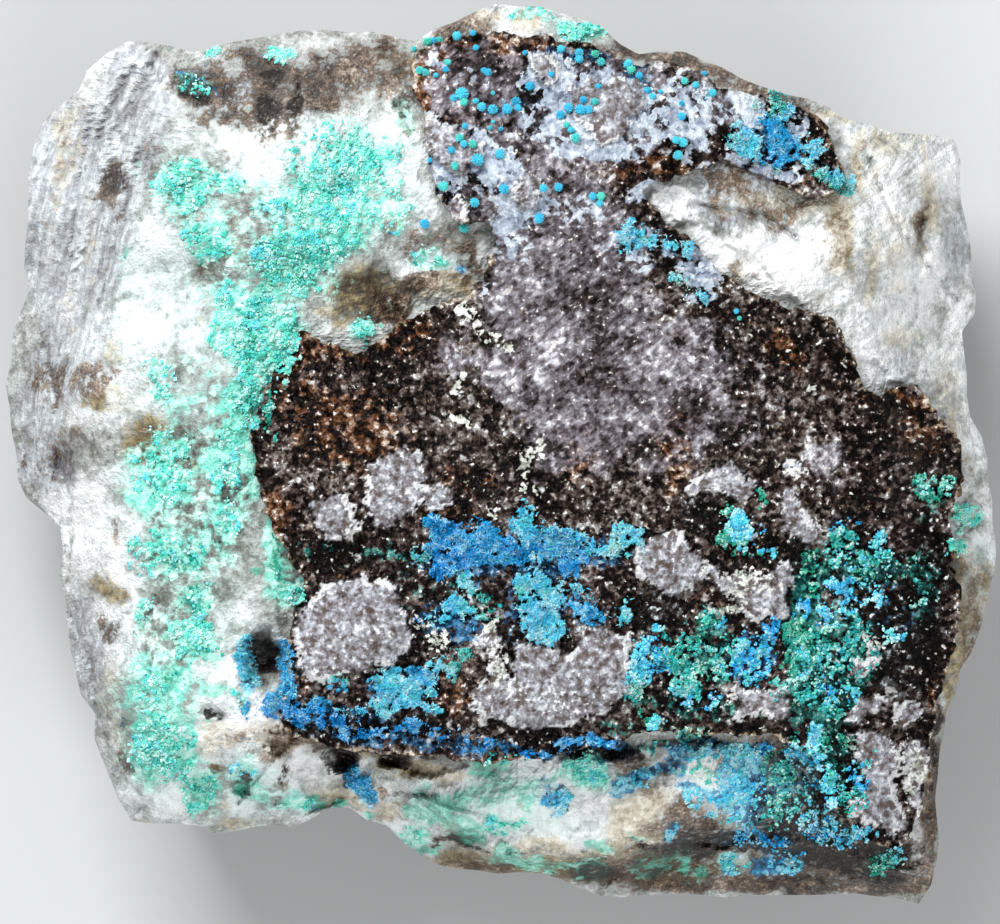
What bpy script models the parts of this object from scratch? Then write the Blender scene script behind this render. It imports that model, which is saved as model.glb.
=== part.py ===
"""A cyanotrichite specimen: one broken block of vein quartz that lies on its back.

Z is up, out of the display face. Y points to the top edge of the face. The origin is on the base, under the
middle of the block. Outlines are drawn on a layout sheet, as on squared paper: x runs right and y runs down
from the sheet's top left corner, and SHEET_UNIT turns a sheet length into metres.
"""

import math

import bmesh
import bpy
import numpy as np
from mathutils import Vector, noise

# Driving dimensions, in metres
WIDTH = 0.0664  # the block across its widest points
CRUST_THICKNESS = 0.0019  # the iron crust at its thickest
CRUST_EDGE_THICKNESS = 0.0009  # the iron crust where it thins out along its rim
PLATE_RISE = 0.00045  # a grey plate above the iron crust
BALL_SUNK = 0.3  # share of a ball's diameter that is inside the crust
GROWTH_THICKNESS = 0.0009  # a crystal crust in its middle
GROWTH_EDGE = 0.00045  # a crystal crust at its rim
GAP = 0.0003  # between a piece and what it lies on
BEDDING = 0.0005  # how much further the rock is below the middle of the iron crust, out of sight
LUMPS = 0.0004  # the bare rock's lumps
BLOCK_SIZE = 0.0068  # the angular blocks that the bare rock broke into
BLOCK_RISE = 0.0015  # how far one block stands above or below the next
BLOCK_CLEARANCE = 0.001  # how far the blocks keep from the iron crust's rim
FOOTING_REACH = 0.0009  # how far round a point a crystal crust looks for the highest ground

# The layout sheet
SHEET_ACROSS = 996
SHEET_MIDDLE = (500, 454.5)
SHEET_UNIT = WIDTH / SHEET_ACROSS
MM = 0.001

# The block's outline seen from above, as four edges: the top and bottom run right, the sides run down
TOP_EDGE = [
    (127, 40), (146, 41), (179, 48), (192, 53), (234, 42), (268, 37), (299, 31), (324, 30), (350, 33),
    (382, 32), (397, 39), (418, 42), (428, 31), (446, 27), (464, 17), (476, 11), (484, 4), (495, 3),
    (505, 6), (542, 5), (554, 11), (593, 22), (609, 32), (622, 46), (634, 55), (672, 50), (688, 52),
    (700, 60), (715, 61), (733, 76), (757, 85), (784, 94), (817, 100), (829, 107), (836, 117), (875, 125),
    (890, 132), (947, 135), (957, 139),
]
RIGHT_EDGE = [
    (957, 139), (963, 150), (961, 188), (965, 212), (974, 241), (971, 259), (978, 288), (977, 313),
    (963, 331), (963, 348), (970, 358), (968, 378), (970, 414), (980, 427), (986, 443), (990, 460),
    (989, 479), (994, 497), (994, 522), (998, 537), (998, 563), (991, 588), (985, 620), (977, 645),
    (966, 665), (958, 674), (957, 696), (947, 712), (944, 743), (940, 757), (940, 774), (936, 790),
    (937, 812), (941, 837), (938, 868), (932, 890), (921, 906),
]
BOTTOM_EDGE = [
    (130, 822), (156, 825), (190, 824), (214, 835), (252, 831), (258, 824), (270, 823), (281, 831),
    (292, 830), (300, 822), (313, 819), (322, 809), (350, 809), (368, 822), (384, 823), (395, 839),
    (412, 848), (420, 859), (442, 870), (475, 872), (500, 876), (531, 873), (553, 877), (576, 888),
    (593, 897), (618, 901), (650, 897), (684, 896), (717, 899), (733, 901), (739, 897), (806, 898),
    (858, 896), (870, 899), (896, 900), (921, 906),
]
LEFT_EDGE = [
    (127, 40), (116, 43), (98, 59), (86, 68), (77, 89), (54, 106), (39, 120), (33, 138), (26, 157),
    (26, 228), (21, 250), (22, 272), (28, 288), (22, 304), (13, 320), (8, 341), (9, 362), (2, 384),
    (8, 416), (9, 443), (18, 468), (13, 484), (18, 497), (34, 501), (46, 519), (58, 524), (60, 541),
    (63, 556), (57, 569), (58, 584), (64, 598), (65, 631), (71, 658), (78, 687), (81, 702), (95, 715),
    (97, 729), (90, 743), (98, 756), (110, 772), (108, 788), (117, 797), (119, 808), (130, 822),
]
COLUMNS = 39
ROWS = 36

# Spot heights of the shelf that the iron crust lies on, and of the slopes around it: sheet x, sheet y, mm
SPOT_HEIGHTS = [
    (127, 40, 17.0), (200, 50, 20.5), (300, 31, 20.5), (420, 40, 20.5), (490, 4, 17.0), (545, 6, 16.5),
    (620, 45, 18.5), (700, 60, 19.0), (830, 108, 17.5), (957, 139, 14.0), (963, 210, 13.0),
    (978, 300, 12.5), (970, 400, 13.5), (994, 500, 14.0), (998, 560, 14.0), (962, 670, 15.5),
    (940, 780, 14.5), (932, 890, 13.5), (900, 900, 14.0), (740, 898, 15.5), (600, 898, 15.8),
    (500, 876, 16.4), (415, 852, 16.6), (350, 809, 17.0), (290, 830, 15.5), (214, 835, 14.8),
    (130, 822, 13.5), (110, 780, 14.0), (92, 745, 13.5), (70, 650, 14.0), (58, 580, 14.5),
    (58, 530, 14.5), (15, 490, 11.5), (8, 400, 12.0), (26, 200, 12.0), (60, 103, 13.0),
    (200, 120, 23.8), (300, 90, 23.8), (400, 70, 23.2), (160, 110, 22.6), (330, 200, 25.2),
    (230, 300, 25.0), (150, 230, 23.6), (118, 330, 22.4), (92, 430, 21.4), (190, 440, 24.4),
    (240, 520, 24.4), (160, 590, 23.0), (225, 620, 24.0), (110, 560, 20.5), (120, 680, 20.4),
    (190, 740, 22.2), (250, 760, 21.6), (160, 790, 18.6), (250, 800, 18.5), (390, 235, 25.6),
    (400, 290, 24.3), (500, 300, 24.0), (600, 500, 24.3), (700, 400, 24.0), (400, 600, 24.1),
    (300, 500, 24.1), (320, 700, 23.4), (500, 690, 23.6), (650, 680, 23.4), (750, 640, 23.2),
    (850, 560, 22.4), (905, 450, 20.8), (860, 370, 21.6), (905, 260, 19.5), (935, 170, 16.5),
    (800, 230, 22.8), (720, 120, 22.4), (600, 90, 22.8), (500, 60, 21.6), (930, 600, 19.5),
    (900, 700, 19.8), (880, 790, 19.4), (880, 860, 16.5), (780, 780, 22.0), (700, 770, 22.4),
    (600, 780, 22.8), (500, 780, 22.8), (400, 775, 22.4), (340, 780, 20.6), (600, 840, 21.4),
    (500, 830, 21.2), (690, 830, 21.4), (780, 830, 20.4),
]

# Steps where the block broke away in layers: outline of the lower ground, drop and width of the slope in mm
STEPS = [
    ([(255, 742), (330, 735), (400, 740), (480, 744), (560, 736), (640, 716), (720, 720), (765, 728),
      (815, 748), (850, 800), (900, 862), (960, 960), (200, 960), (290, 800)], 2.6, 1.6),
    ([(388, 795), (430, 804), (456, 826), (484, 840), (515, 852), (590, 860), (622, 857), (650, 846),
      (676, 837), (730, 829), (765, 822), (830, 850), (880, 872), (960, 960), (300, 960)], 2.2, 1.4),
    ([(172, 30), (160, 60), (148, 95), (132, 150), (118, 220), (108, 270), (92, 330), (70, 390),
      (64, 450), (66, 520), (30, 600), (-60, 500), (-60, 0)], 1.5, 1.3),
]

# Pits: sheet x, sheet y, radius on the sheet, depth in mm
PITS = [
    (268, 662, 17, 2.4), (338, 760, 16, 2.2), (241, 781, 9, 1.4), (211, 713, 8, 1.0), (420, 312, 22, 0.8),
]

# Outline of the iron crust
CRUST_OUTLINE = [
    (418, 52), (440, 42), (470, 34), (510, 36), (560, 40), (600, 50), (630, 64), (668, 62), (700, 72),
    (722, 88), (760, 98), (800, 108), (822, 122), (834, 150), (846, 184), (822, 200), (795, 192),
    (760, 174), (716, 160), (680, 176), (640, 190), (652, 214), (690, 244), (716, 272), (760, 298),
    (804, 312), (838, 324), (848, 358), (864, 389), (880, 400), (893, 386), (925, 386), (936, 420),
    (958, 436), (964, 470), (950, 520), (954, 566), (962, 612), (950, 660), (936, 700), (928, 760),
    (922, 815), (904, 846), (870, 846), (826, 800), (810, 752), (768, 732), (722, 734), (650, 728),
    (600, 744), (540, 756), (480, 760), (400, 752), (330, 744), (290, 734), (276, 712), (292, 690),
    (294, 640), (300, 602), (314, 580), (294, 562), (278, 536), (266, 506), (260, 470), (252, 430),
    (262, 400), (282, 368), (304, 332), (326, 346), (356, 356), (378, 342), (404, 322), (437, 305),
    (470, 300), (486, 276), (496, 250), (492, 226), (452, 222), (432, 180), (428, 130), (414, 92),
]
CRUST_CELLS = 16

# The lower level of the iron crust, where its top layer has split away
CRUST_LOW_GROUND = [
    (812, 548), (786, 562), (796, 600), (788, 628), (760, 640), (720, 640), (650, 660), (640, 720),
    (700, 760), (840, 900), (1000, 900), (1000, 520), (930, 500), (860, 520),
]
CRUST_LOW_DROP = 0.0008

GREY_PLATES = [
    [(370, 465), (392, 456), (415, 450), (426, 457), (428, 478), (452, 490), (453, 506), (424, 503),
     (400, 515), (388, 528), (374, 524), (366, 508)],
    [(311, 505), (325, 497), (343, 494), (358, 503), (355, 524), (343, 541), (328, 542), (316, 530)],
    [(300, 590), (318, 578), (345, 576), (388, 580), (405, 612), (412, 648), (400, 656), (368, 664),
     (340, 680), (318, 686), (304, 676), (298, 655), (297, 610)],
    [(478, 630), (492, 622), (500, 650), (512, 676), (516, 648), (548, 645), (572, 654), (590, 630),
     (625, 637), (632, 660), (635, 692), (605, 712), (570, 726), (520, 726), (482, 712), (472, 692)],
    [(632, 560), (655, 533), (684, 538), (690, 550), (710, 568), (700, 580), (675, 596), (648, 580)],
    [(686, 490), (712, 467), (728, 463), (744, 472), (755, 483), (748, 496), (721, 491), (692, 499)],
    [(782, 494), (793, 488), (800, 503), (806, 519), (817, 534), (811, 547), (795, 536), (784, 525)],
    [(705, 565), (720, 572), (750, 572), (768, 566), (783, 562), (788, 580), (782, 600), (784, 618),
     (768, 625), (735, 605), (722, 590)],
    [(722, 706), (735, 692), (743, 684), (765, 690), (785, 690), (792, 704), (786, 716), (762, 710),
     (730, 718)],
    [(850, 732), (868, 728), (892, 742), (912, 738), (926, 758), (922, 790), (924, 826), (905, 838),
     (878, 828), (850, 815), (848, 798), (864, 780), (858, 762)],
    [(529, 60), (548, 54), (560, 72), (572, 84), (562, 100), (548, 92), (530, 86)],
    [(600, 96), (622, 82), (642, 88), (640, 116), (622, 134), (606, 150), (598, 130)],
]

# Balls of blue crystals: sheet x, sheet y, diameter on the sheet
BALLS = [
    (477, 48, 12), (462, 97, 13), (482, 109, 12), (503, 110, 12), (516, 104, 14), (531, 89, 12),
    (562, 50, 12), (579, 57, 14), (595, 55, 12), (630, 68, 13), (641, 77, 12), (561, 116, 12),
    (575, 138, 12), (504, 190, 12), (475, 204, 12), (539, 220, 12), (646, 92, 11), (681, 144, 11),
]

# Crystal crusts that lie on the iron crust and on the rock
GROWTHS_ON_CRUST = {
    "cyanotrichite_seam": [
        (424, 521), (450, 523), (480, 530), (508, 521), (530, 515), (556, 525), (588, 536), (590, 560),
        (580, 578), (600, 598), (588, 618), (562, 636), (545, 640), (524, 630), (516, 606), (518, 584),
        (498, 572), (470, 572), (445, 574), (424, 560), (414, 542)],
    "cyanotrichite_top_patch": [
        (737, 136), (750, 121), (766, 114), (790, 119), (803, 134), (806, 150), (796, 160), (776, 160),
        (756, 154)],
    "cyanotrichite_lower_patch": [
        (374, 675), (396, 670), (424, 668), (436, 686), (452, 700), (440, 712), (408, 715), (376, 710)],
    "green_crust_right": [
        (822, 560), (842, 534), (868, 530), (898, 532), (926, 546), (934, 572), (912, 590), (896, 612),
        (880, 640), (858, 662), (826, 676), (800, 676), (800, 640), (808, 612), (802, 584)],
    "green_crust_middle": [
        (662, 640), (680, 616), (700, 622), (726, 648), (756, 645), (772, 660), (764, 678), (730, 680),
        (700, 698), (672, 690), (654, 668)],
}
GROWTHS_ON_ROCK = {
    "green_crust_left": [
        (302, 152), (330, 135), (372, 130), (402, 152), (404, 180), (384, 200), (354, 210), (342, 240),
        (330, 278), (300, 298), (268, 300), (240, 286), (236, 256), (262, 236), (290, 222), (300, 190)],
    "cyanotrichite_hollow_patch": [
        (238, 645), (248, 638), (251, 656), (249, 678), (262, 692), (276, 694), (266, 706), (250, 708),
        (242, 690), (236, 664)],
}
GROWTH_CELLS = 6


def at(x, y):
    """The place in metres of a point on the layout sheet, as two numbers."""
    return (x - SHEET_MIDDLE[0]) * SHEET_UNIT, (SHEET_MIDDLE[1] - y) * SHEET_UNIT


def placed(outline):
    return np.array([at(x, y) for x, y in outline])


def inside_by(outline, x, y):
    """How far a point is inside an outline, in metres; negative outside."""
    starts = outline
    ends = np.roll(outline, -1, axis=0)
    sides = ends - starts
    to_point = np.array([x, y]) - starts
    share = np.clip((to_point * sides).sum(1) / (sides**2).sum(1), 0, 1)
    nearest = np.hypot(*(to_point - sides * share[:, None]).T).min()
    spans = (starts[:, 1] > y) != (ends[:, 1] > y)
    rise = np.where(sides[:, 1] == 0, 1, sides[:, 1])
    crossings = starts[:, 0] + (y - starts[:, 1]) * sides[:, 0] / rise
    inside = (spans & (x < crossings)).sum() % 2 == 1
    return float(nearest if inside else -nearest)


def smooth_step(low, high, value):
    share = min(1.0, max(0.0, (value - low) / (high - low)))
    return share * share * (3 - 2 * share)


class ThinPlate:
    """A smooth surface through spot heights, bent as a thin plate would bend."""

    def __init__(self, spots):
        self.places = placed([(x, y) for x, y, _ in spots])
        heights = np.array([height * MM for _, _, height in spots])
        count = len(spots)
        flat = np.hstack([np.ones((count, 1)), self.places])
        system = np.zeros((count + 3, count + 3))
        distances = np.hypot(*(self.places[:, None] - self.places[None]).transpose(2, 0, 1))
        system[:count, :count] = self.bend(distances)
        system[:count, count:] = flat
        system[count:, :count] = flat.T
        self.weights = np.linalg.solve(system, np.concatenate([heights, np.zeros(3)]))

    @staticmethod
    def bend(distance):
        return distance**2 * np.log(np.maximum(distance, 1e-9))

    def height(self, x, y):
        distances = np.hypot(self.places[:, 0] - x, self.places[:, 1] - y)
        terms = np.concatenate([self.bend(distances), [1.0, x, y]])
        return float(terms @ self.weights)


SHELF = ThinPlate(SPOT_HEIGHTS)
CRUST = placed(CRUST_OUTLINE)
LOW_GROUND = placed(CRUST_LOW_GROUND)
STEP_GROUNDS = [(placed(outline), drop * MM, slope * MM) for outline, drop, slope in STEPS]


def rough(x, y, size, seed):
    """Fractal noise from about -1 to 1, with lumps about `size` metres across."""
    return noise.fractal(Vector((x / size, y / size, seed)), 0.9, 2.1, 3)


def blocky(place, size):
    """Broken rock, from about -1 to 1: each cell has its own level, and slopes a little way to the joints."""
    distances, points = noise.voronoi(place / size)
    level = noise.cell(points[0] * 7.3)
    tilt = (place / size - points[0]).x * noise.cell(points[0] * 3.1 + Vector((5, 1, 2)))
    return (level + 0.9 * tilt) * smooth_step(0.0, 0.35, distances[1] - distances[0])


def rock_height(x, y):
    """Top of the host rock: the shelf, its broken steps, its pits, and lumps where no crust covers it."""
    height = SHELF.height(x, y)
    for ground, drop, slope in STEP_GROUNDS:
        height -= drop * smooth_step(0, slope, inside_by(ground, x, y))
    for pit_x, pit_y, radius, depth in PITS:
        centre = at(pit_x, pit_y)
        away = math.hypot(x - centre[0], y - centre[1]) / (radius * SHEET_UNIT)
        height -= depth * MM * math.exp(-(away**2))
    crusted = inside_by(CRUST, x, y)
    height -= BEDDING * smooth_step(0, 0.0015, crusted)
    relief = LUMPS * rough(x, y, 0.0055, 3.7)
    relief += BLOCK_RISE * blocky(Vector((x, y, 0.013)), BLOCK_SIZE)
    return height + smooth_step(BLOCK_CLEARANCE, BLOCK_CLEARANCE + 0.003, -crusted) * relief


def crust_top(x, y):
    """Top of the iron crust. It thins towards its rim and is lower where its top layer has split away."""
    thickness = CRUST_EDGE_THICKNESS + (CRUST_THICKNESS - CRUST_EDGE_THICKNESS) * smooth_step(
        0, 0.004, inside_by(CRUST, x, y)
    )
    thickness -= CRUST_LOW_DROP * smooth_step(0, 0.0012, inside_by(LOW_GROUND, x, y))
    thickness = max(thickness, CRUST_EDGE_THICKNESS)
    return SHELF.height(x, y) + GAP + thickness + 0.00016 * rough(x, y, 0.0075, 8.2)


def along(edge, share):
    """The point at a share of an edge's length."""
    points = placed(edge)
    lengths = np.concatenate([[0], np.cumsum(np.hypot(*np.diff(points, axis=0).T))])
    where = share * lengths[-1]
    return np.array([np.interp(where, lengths, points[:, 0]), np.interp(where, lengths, points[:, 1])])


def stretched(u, v):
    """Blends the four edges of the block over its face: u runs to the right and v runs down."""
    top = along(TOP_EDGE, u)
    bottom = along(BOTTOM_EDGE, u)
    left = along(LEFT_EDGE, v)
    right = along(RIGHT_EDGE, v)
    corners = (
        (1 - u) * (1 - v) * along(TOP_EDGE, 0)
        + u * (1 - v) * along(TOP_EDGE, 1)
        + (1 - u) * v * along(BOTTOM_EDGE, 0)
        + u * v * along(BOTTOM_EDGE, 1)
    )
    return (1 - v) * top + v * bottom + (1 - u) * left + u * right - corners


def clear_scene():
    for obj in list(bpy.data.objects):
        bpy.data.objects.remove(obj, do_unlink=True)


def new_collection(name):
    collection = bpy.data.collections.new(name)
    bpy.context.scene.collection.children.link(collection)
    return collection


def material(name, colour, roughness):
    made = bpy.data.materials.new(name)
    made.use_nodes = True
    surface = made.node_tree.nodes["Principled BSDF"]
    surface.inputs["Base Color"].default_value = (*colour, 1.0)
    surface.inputs["Roughness"].default_value = roughness
    return made


def mesh_object(name, bm, collection, finish=None):
    mesh = bpy.data.meshes.new(name)
    bm.to_mesh(mesh)
    bm.free()
    obj = bpy.data.objects.new(name, mesh)
    collection.objects.link(obj)
    if finish:
        mesh.materials.append(finish)
    return obj


def hide_helper(obj):
    obj.hide_render = True
    obj.display_type = "WIRE"


# How the block's side goes down from its outline: share of the outline's height kept, and mm set in
SIDE_RINGS = [(0.84, 0.4), (0.64, 1.2), (0.42, 2.2), (0.20, 3.4), (0.0, 5.2)]
SIDE_BLOCKS = 0.0032  # how far the side's broken blocks are set in or out
SIDE_BLOCK_SIZE = 0.011


def host_rock(collection, finish):
    """A grid stretched over the block's face, whose border is drawn down and in to a flat base."""
    bm = bmesh.new()
    bmesh.ops.create_grid(bm, x_segments=COLUMNS, y_segments=ROWS, size=1)
    for vert in bm.verts:
        x, y = stretched((vert.co.x + 1) / 2, (1 - vert.co.y) / 2)
        vert.co = Vector((x, y, rock_height(x, y)))
    border = [edge for edge in bm.edges if edge.is_boundary]
    heights = {(vert.co.x, vert.co.y): vert.co.z for edge in border for vert in edge.verts}
    sources = {place: Vector(place) for place in heights}
    for keep, inset in SIDE_RINGS:
        drawn = bmesh.ops.extrude_edge_only(bm, edges=border)["geom"]
        ring = [part for part in drawn if isinstance(part, bmesh.types.BMVert)]
        border = [part for part in drawn if isinstance(part, bmesh.types.BMEdge)]
        next_sources, next_heights = {}, {}
        for vert in ring:
            key = (vert.co.x, vert.co.y)
            source, height = sources[key], heights[key]
            place = Vector((source.x, source.y, keep * height))
            chip = SIDE_BLOCKS * (1 - keep) * blocky(place, SIDE_BLOCK_SIZE)
            vert.co.xy = source - source.normalized() * max(0.0002, inset * MM + chip)
            vert.co.z = keep * height
            next_sources[(vert.co.x, vert.co.y)] = source
            next_heights[(vert.co.x, vert.co.y)] = height
        sources, heights = next_sources, next_heights
    bmesh.ops.contextual_create(bm, geom=border)
    bmesh.ops.recalc_face_normals(bm, faces=bm.faces)
    return mesh_object("host_rock", bm, collection, finish)


def prism(name, outline, low, high, helpers):
    """A flat outline drawn as a filled curve and given height, as a mesh."""
    curve = bpy.data.curves.new(name, "CURVE")
    curve.dimensions = "2D"
    curve.fill_mode = "BOTH"
    curve.extrude = (high - low) / 2
    spline = curve.splines.new("POLY")
    spline.points.add(len(outline) - 1)
    for point, (x, y) in zip(spline.points, outline):
        point.co = (x, y, 0, 1)
    spline.use_cyclic_u = True
    drawn = bpy.data.objects.new(name, curve)
    drawn.location.z = (low + high) / 2
    helpers.objects.link(drawn)
    bpy.context.view_layer.update()
    mesh = bpy.data.meshes.new_from_object(drawn.evaluated_get(bpy.context.evaluated_depsgraph_get()))
    bm = bmesh.new()
    bm.from_mesh(mesh)
    bmesh.ops.remove_doubles(bm, verts=bm.verts, dist=1e-6)
    bm.to_mesh(mesh)
    bm.free()
    solid = bpy.data.objects.new(name, mesh)
    solid.matrix_world = drawn.matrix_world
    bpy.data.objects.remove(drawn)
    helpers.objects.link(solid)
    hide_helper(solid)
    return solid


def sheet_over(name, outline, cells, bottom_of, top_of, collection, helpers, finish):
    """A layer whose underside and top follow two height functions, trimmed to an outline."""
    low, high = outline.min(0) - 0.001, outline.max(0) + 0.001
    middle, half = (low + high) / 2, (high - low) / 2
    bm = bmesh.new()
    bmesh.ops.create_grid(bm, x_segments=cells, y_segments=cells, size=1)
    for vert in bm.verts:
        vert.co.x = middle[0] + half[0] * vert.co.x
        vert.co.y = middle[1] + half[1] * vert.co.y
    raised = bmesh.ops.extrude_face_region(bm, geom=list(bm.faces))["geom"]
    upper = {part for part in raised if isinstance(part, bmesh.types.BMVert)}
    for vert in bm.verts:
        follow = top_of if vert in upper else bottom_of
        vert.co.z = follow(vert.co.x, vert.co.y)
    bmesh.ops.recalc_face_normals(bm, faces=bm.faces)
    layer = mesh_object(name, bm, collection, finish)
    trim = layer.modifiers.new("trim_to_outline", "BOOLEAN")
    trim.operation = "INTERSECT"
    trim.object = prism(name + "_outline", outline, -0.01, 0.04, helpers)
    return layer


def crust_facets_top(x, y):
    """Top of the iron crust's flat facets: between the corners of its grid they lie off the true height."""
    low, high = CRUST.min(0) - 0.001, CRUST.max(0) + 0.001
    cell = (high - low) / CRUST_CELLS
    corner = low + np.floor((np.array([x, y]) - low) / cell) * cell
    across, up = (np.array([x, y]) - corner) / cell
    left = (1 - up) * crust_top(*corner) + up * crust_top(corner[0], corner[1] + cell[1])
    right = (1 - up) * crust_top(corner[0] + cell[0], corner[1]) + up * crust_top(*(corner + cell))
    return (1 - across) * left + across * right


def iron_crust(collection, helpers, finish):
    """The brown layer, with its grey plates and its larger crystal balls grown on."""
    layer = sheet_over(
        "iron_crust",
        CRUST,
        CRUST_CELLS,
        lambda x, y: SHELF.height(x, y) + GAP,
        crust_top,
        collection,
        helpers,
        finish,
    )
    grown = bpy.data.collections.new("grown_on_the_iron_crust")
    helpers.children.link(grown)
    for number, outline in enumerate(GREY_PLATES, 1):
        points = placed(outline)
        x, y = points.mean(0)
        top = crust_top(x, y)
        plate = prism(f"grey_plate_{number}", points - (x, y), -0.0009, PLATE_RISE, grown)
        step = 0.002
        lean_x = (crust_top(x + step, y) - crust_top(x - step, y)) / (2 * step)
        lean_y = (crust_top(x, y + step) - crust_top(x, y - step)) / (2 * step)
        plate.rotation_euler = (math.atan(lean_y), -math.atan(lean_x), 0)
        plate.location = (x, y, top + (PLATE_RISE - 0.0009) / 2)
    for number, (sheet_x, sheet_y, sheet_diameter) in enumerate(BALLS, 1):
        x, y = at(sheet_x, sheet_y)
        radius = sheet_diameter * SHEET_UNIT / 2
        bm = bmesh.new()
        bmesh.ops.create_icosphere(bm, subdivisions=2, radius=radius)
        middle = crust_facets_top(x, y) + radius * (1 - 2 * BALL_SUNK)
        bmesh.ops.translate(bm, vec=(x, y, middle), verts=bm.verts)
        hide_helper(mesh_object(f"crystal_ball_{number}", bm, grown))
    join = layer.modifiers.new("join_growths", "BOOLEAN")
    join.operation = "UNION"
    join.operand_type = "COLLECTION"
    join.collection = grown
    return layer


def highest_near(ground, x, y):
    """The highest ground within a footing's reach, so that a stiff layer over uneven ground stays clear of it."""
    steps = (-FOOTING_REACH, 0, FOOTING_REACH)
    return max(ground(x + across, y + up) for across in steps for up in steps)


def growth(name, outline, ground, collection, helpers, finish):
    """A knobbly crystal crust that lies on the ground it grew on."""
    border = placed(outline)

    def underside(x, y):
        return highest_near(ground, x, y) + GAP

    def top_of(x, y):
        depth = smooth_step(0, 0.0016, inside_by(border, x, y))
        knobs = 0.0002 * rough(x, y, 0.0016, 5.1)
        return underside(x, y) + GROWTH_EDGE + (GROWTH_THICKNESS - GROWTH_EDGE) * depth + knobs

    return sheet_over(name, border, GROWTH_CELLS, underside, top_of, collection, helpers, finish)


def main():
    clear_scene()
    specimen = new_collection("cyanotrichite_specimen")
    helpers = new_collection("cutters_and_growths")
    quartz = material("vein_quartz", (0.72, 0.71, 0.68), 0.6)
    iron = material("iron_oxide", (0.13, 0.09, 0.08), 0.7)
    blue = material("blue_crystals", (0.05, 0.33, 0.72), 0.75)
    green = material("green_crystals", (0.05, 0.5, 0.38), 0.75)
    host_rock(specimen, quartz)
    iron_crust(specimen, helpers, iron)
    for grounds, ground in ((GROWTHS_ON_CRUST, crust_top), (GROWTHS_ON_ROCK, rock_height)):
        for name, outline in grounds.items():
            finish = green if name.startswith("green") else blue
            growth(name, outline, ground, specimen, helpers, finish)


main()
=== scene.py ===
# %% [markdown]
# # A cyanotrichite specimen
# A broken block of vein quartz lies on its flat back and shows its face upwards. A thin brown crust of iron
# oxides covers most of the face, and on both grow tufts of cyanotrichite, a sky-blue mineral made of fine
# needles, with granular green and turquoise minerals round them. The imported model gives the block, the crust
# and the crystal patches at their real size and place. This script gives each of them its fine surface.

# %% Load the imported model
import math

import bmesh
import bpy
import numpy as np
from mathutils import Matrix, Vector, noise
from mathutils.bvhtree import BVHTree


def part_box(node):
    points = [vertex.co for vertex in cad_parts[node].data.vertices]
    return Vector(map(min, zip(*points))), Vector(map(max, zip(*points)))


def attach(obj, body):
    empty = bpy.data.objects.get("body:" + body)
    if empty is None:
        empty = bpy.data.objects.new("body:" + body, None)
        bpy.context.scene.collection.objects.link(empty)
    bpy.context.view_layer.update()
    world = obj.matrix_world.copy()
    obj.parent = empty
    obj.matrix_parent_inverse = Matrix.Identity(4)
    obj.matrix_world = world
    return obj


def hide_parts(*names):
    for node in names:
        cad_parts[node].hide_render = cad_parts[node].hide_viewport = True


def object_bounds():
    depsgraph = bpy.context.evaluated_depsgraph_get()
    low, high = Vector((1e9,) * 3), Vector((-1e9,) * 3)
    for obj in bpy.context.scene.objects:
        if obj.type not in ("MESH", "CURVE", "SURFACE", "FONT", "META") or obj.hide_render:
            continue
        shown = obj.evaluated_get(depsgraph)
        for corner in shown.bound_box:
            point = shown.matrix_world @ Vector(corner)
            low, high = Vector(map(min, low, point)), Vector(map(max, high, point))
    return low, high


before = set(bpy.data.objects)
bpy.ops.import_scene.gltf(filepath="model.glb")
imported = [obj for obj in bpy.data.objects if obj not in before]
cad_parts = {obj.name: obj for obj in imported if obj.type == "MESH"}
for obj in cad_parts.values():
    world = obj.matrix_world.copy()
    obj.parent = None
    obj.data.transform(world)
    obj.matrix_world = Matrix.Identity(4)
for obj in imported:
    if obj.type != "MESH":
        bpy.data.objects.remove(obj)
cad_low, cad_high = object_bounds()
MM = 0.001
print("the packed model is", [round(side / MM, 1) for side in cad_high - cad_low], "mm")

# %% [markdown]
# ## The layout sheet
# Every patch and stain is placed on a layout sheet, like squared paper laid over the face: x runs right and
# y runs down. The sheet is as wide as the block, so its unit comes from the imported model. A stain is a blot:
# the x and y of its middle, its half width, its half height and its strength. Many soft blots are quicker to
# place than outlines, and the noise in each finish gives them their ragged edges later.

# %% The sheet's scale
SHEET_ACROSS = 996
SHEET_MIDDLE = np.array([500.0, 454.5])
UNIT = (cad_high.x - cad_low.x) / SHEET_ACROSS


def placed(sheet_points):
    """Sheet points in metres."""
    return (np.asarray(sheet_points, float) - SHEET_MIDDLE) * (UNIT, -UNIT)


def on_sheet(points):
    """Points in metres as sheet points."""
    return points[:, :2] / (UNIT, -UNIT) + SHEET_MIDDLE


def smooth_step(low, high, value):
    share = np.clip((value - low) / (high - low), 0, 1)
    return share * share * (3 - 2 * share)


def blotted(points, blots, softness=0.6):
    """How strongly a list of blots covers each point, from 0 to 1."""
    sheet = on_sheet(points)
    bare = np.ones(len(points))
    for x, y, across, down, strength in blots:
        away = np.hypot((sheet[:, 0] - x) / across, (sheet[:, 1] - y) / down)
        bare *= 1 - strength * (1 - smooth_step(1 - softness, 1 + softness, away))
    return 1 - bare


def traced(points, lines):
    """How close each point is, from 0 to 1, to lines on the sheet: each has a half width and corners."""
    sheet = on_sheet(points)
    nearness = np.zeros(len(points))
    for half_width, corners in lines:
        corners = np.array(corners, float)
        for start, end in zip(corners, corners[1:]):
            side = end - start
            share = np.clip((sheet - start) @ side / (side @ side), 0, 1)
            away = np.hypot(*(sheet - start - share[:, None] * side).T)
            nearness = np.maximum(nearness, 1 - smooth_step(0.2 * half_width, half_width, away))
    return nearness


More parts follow.
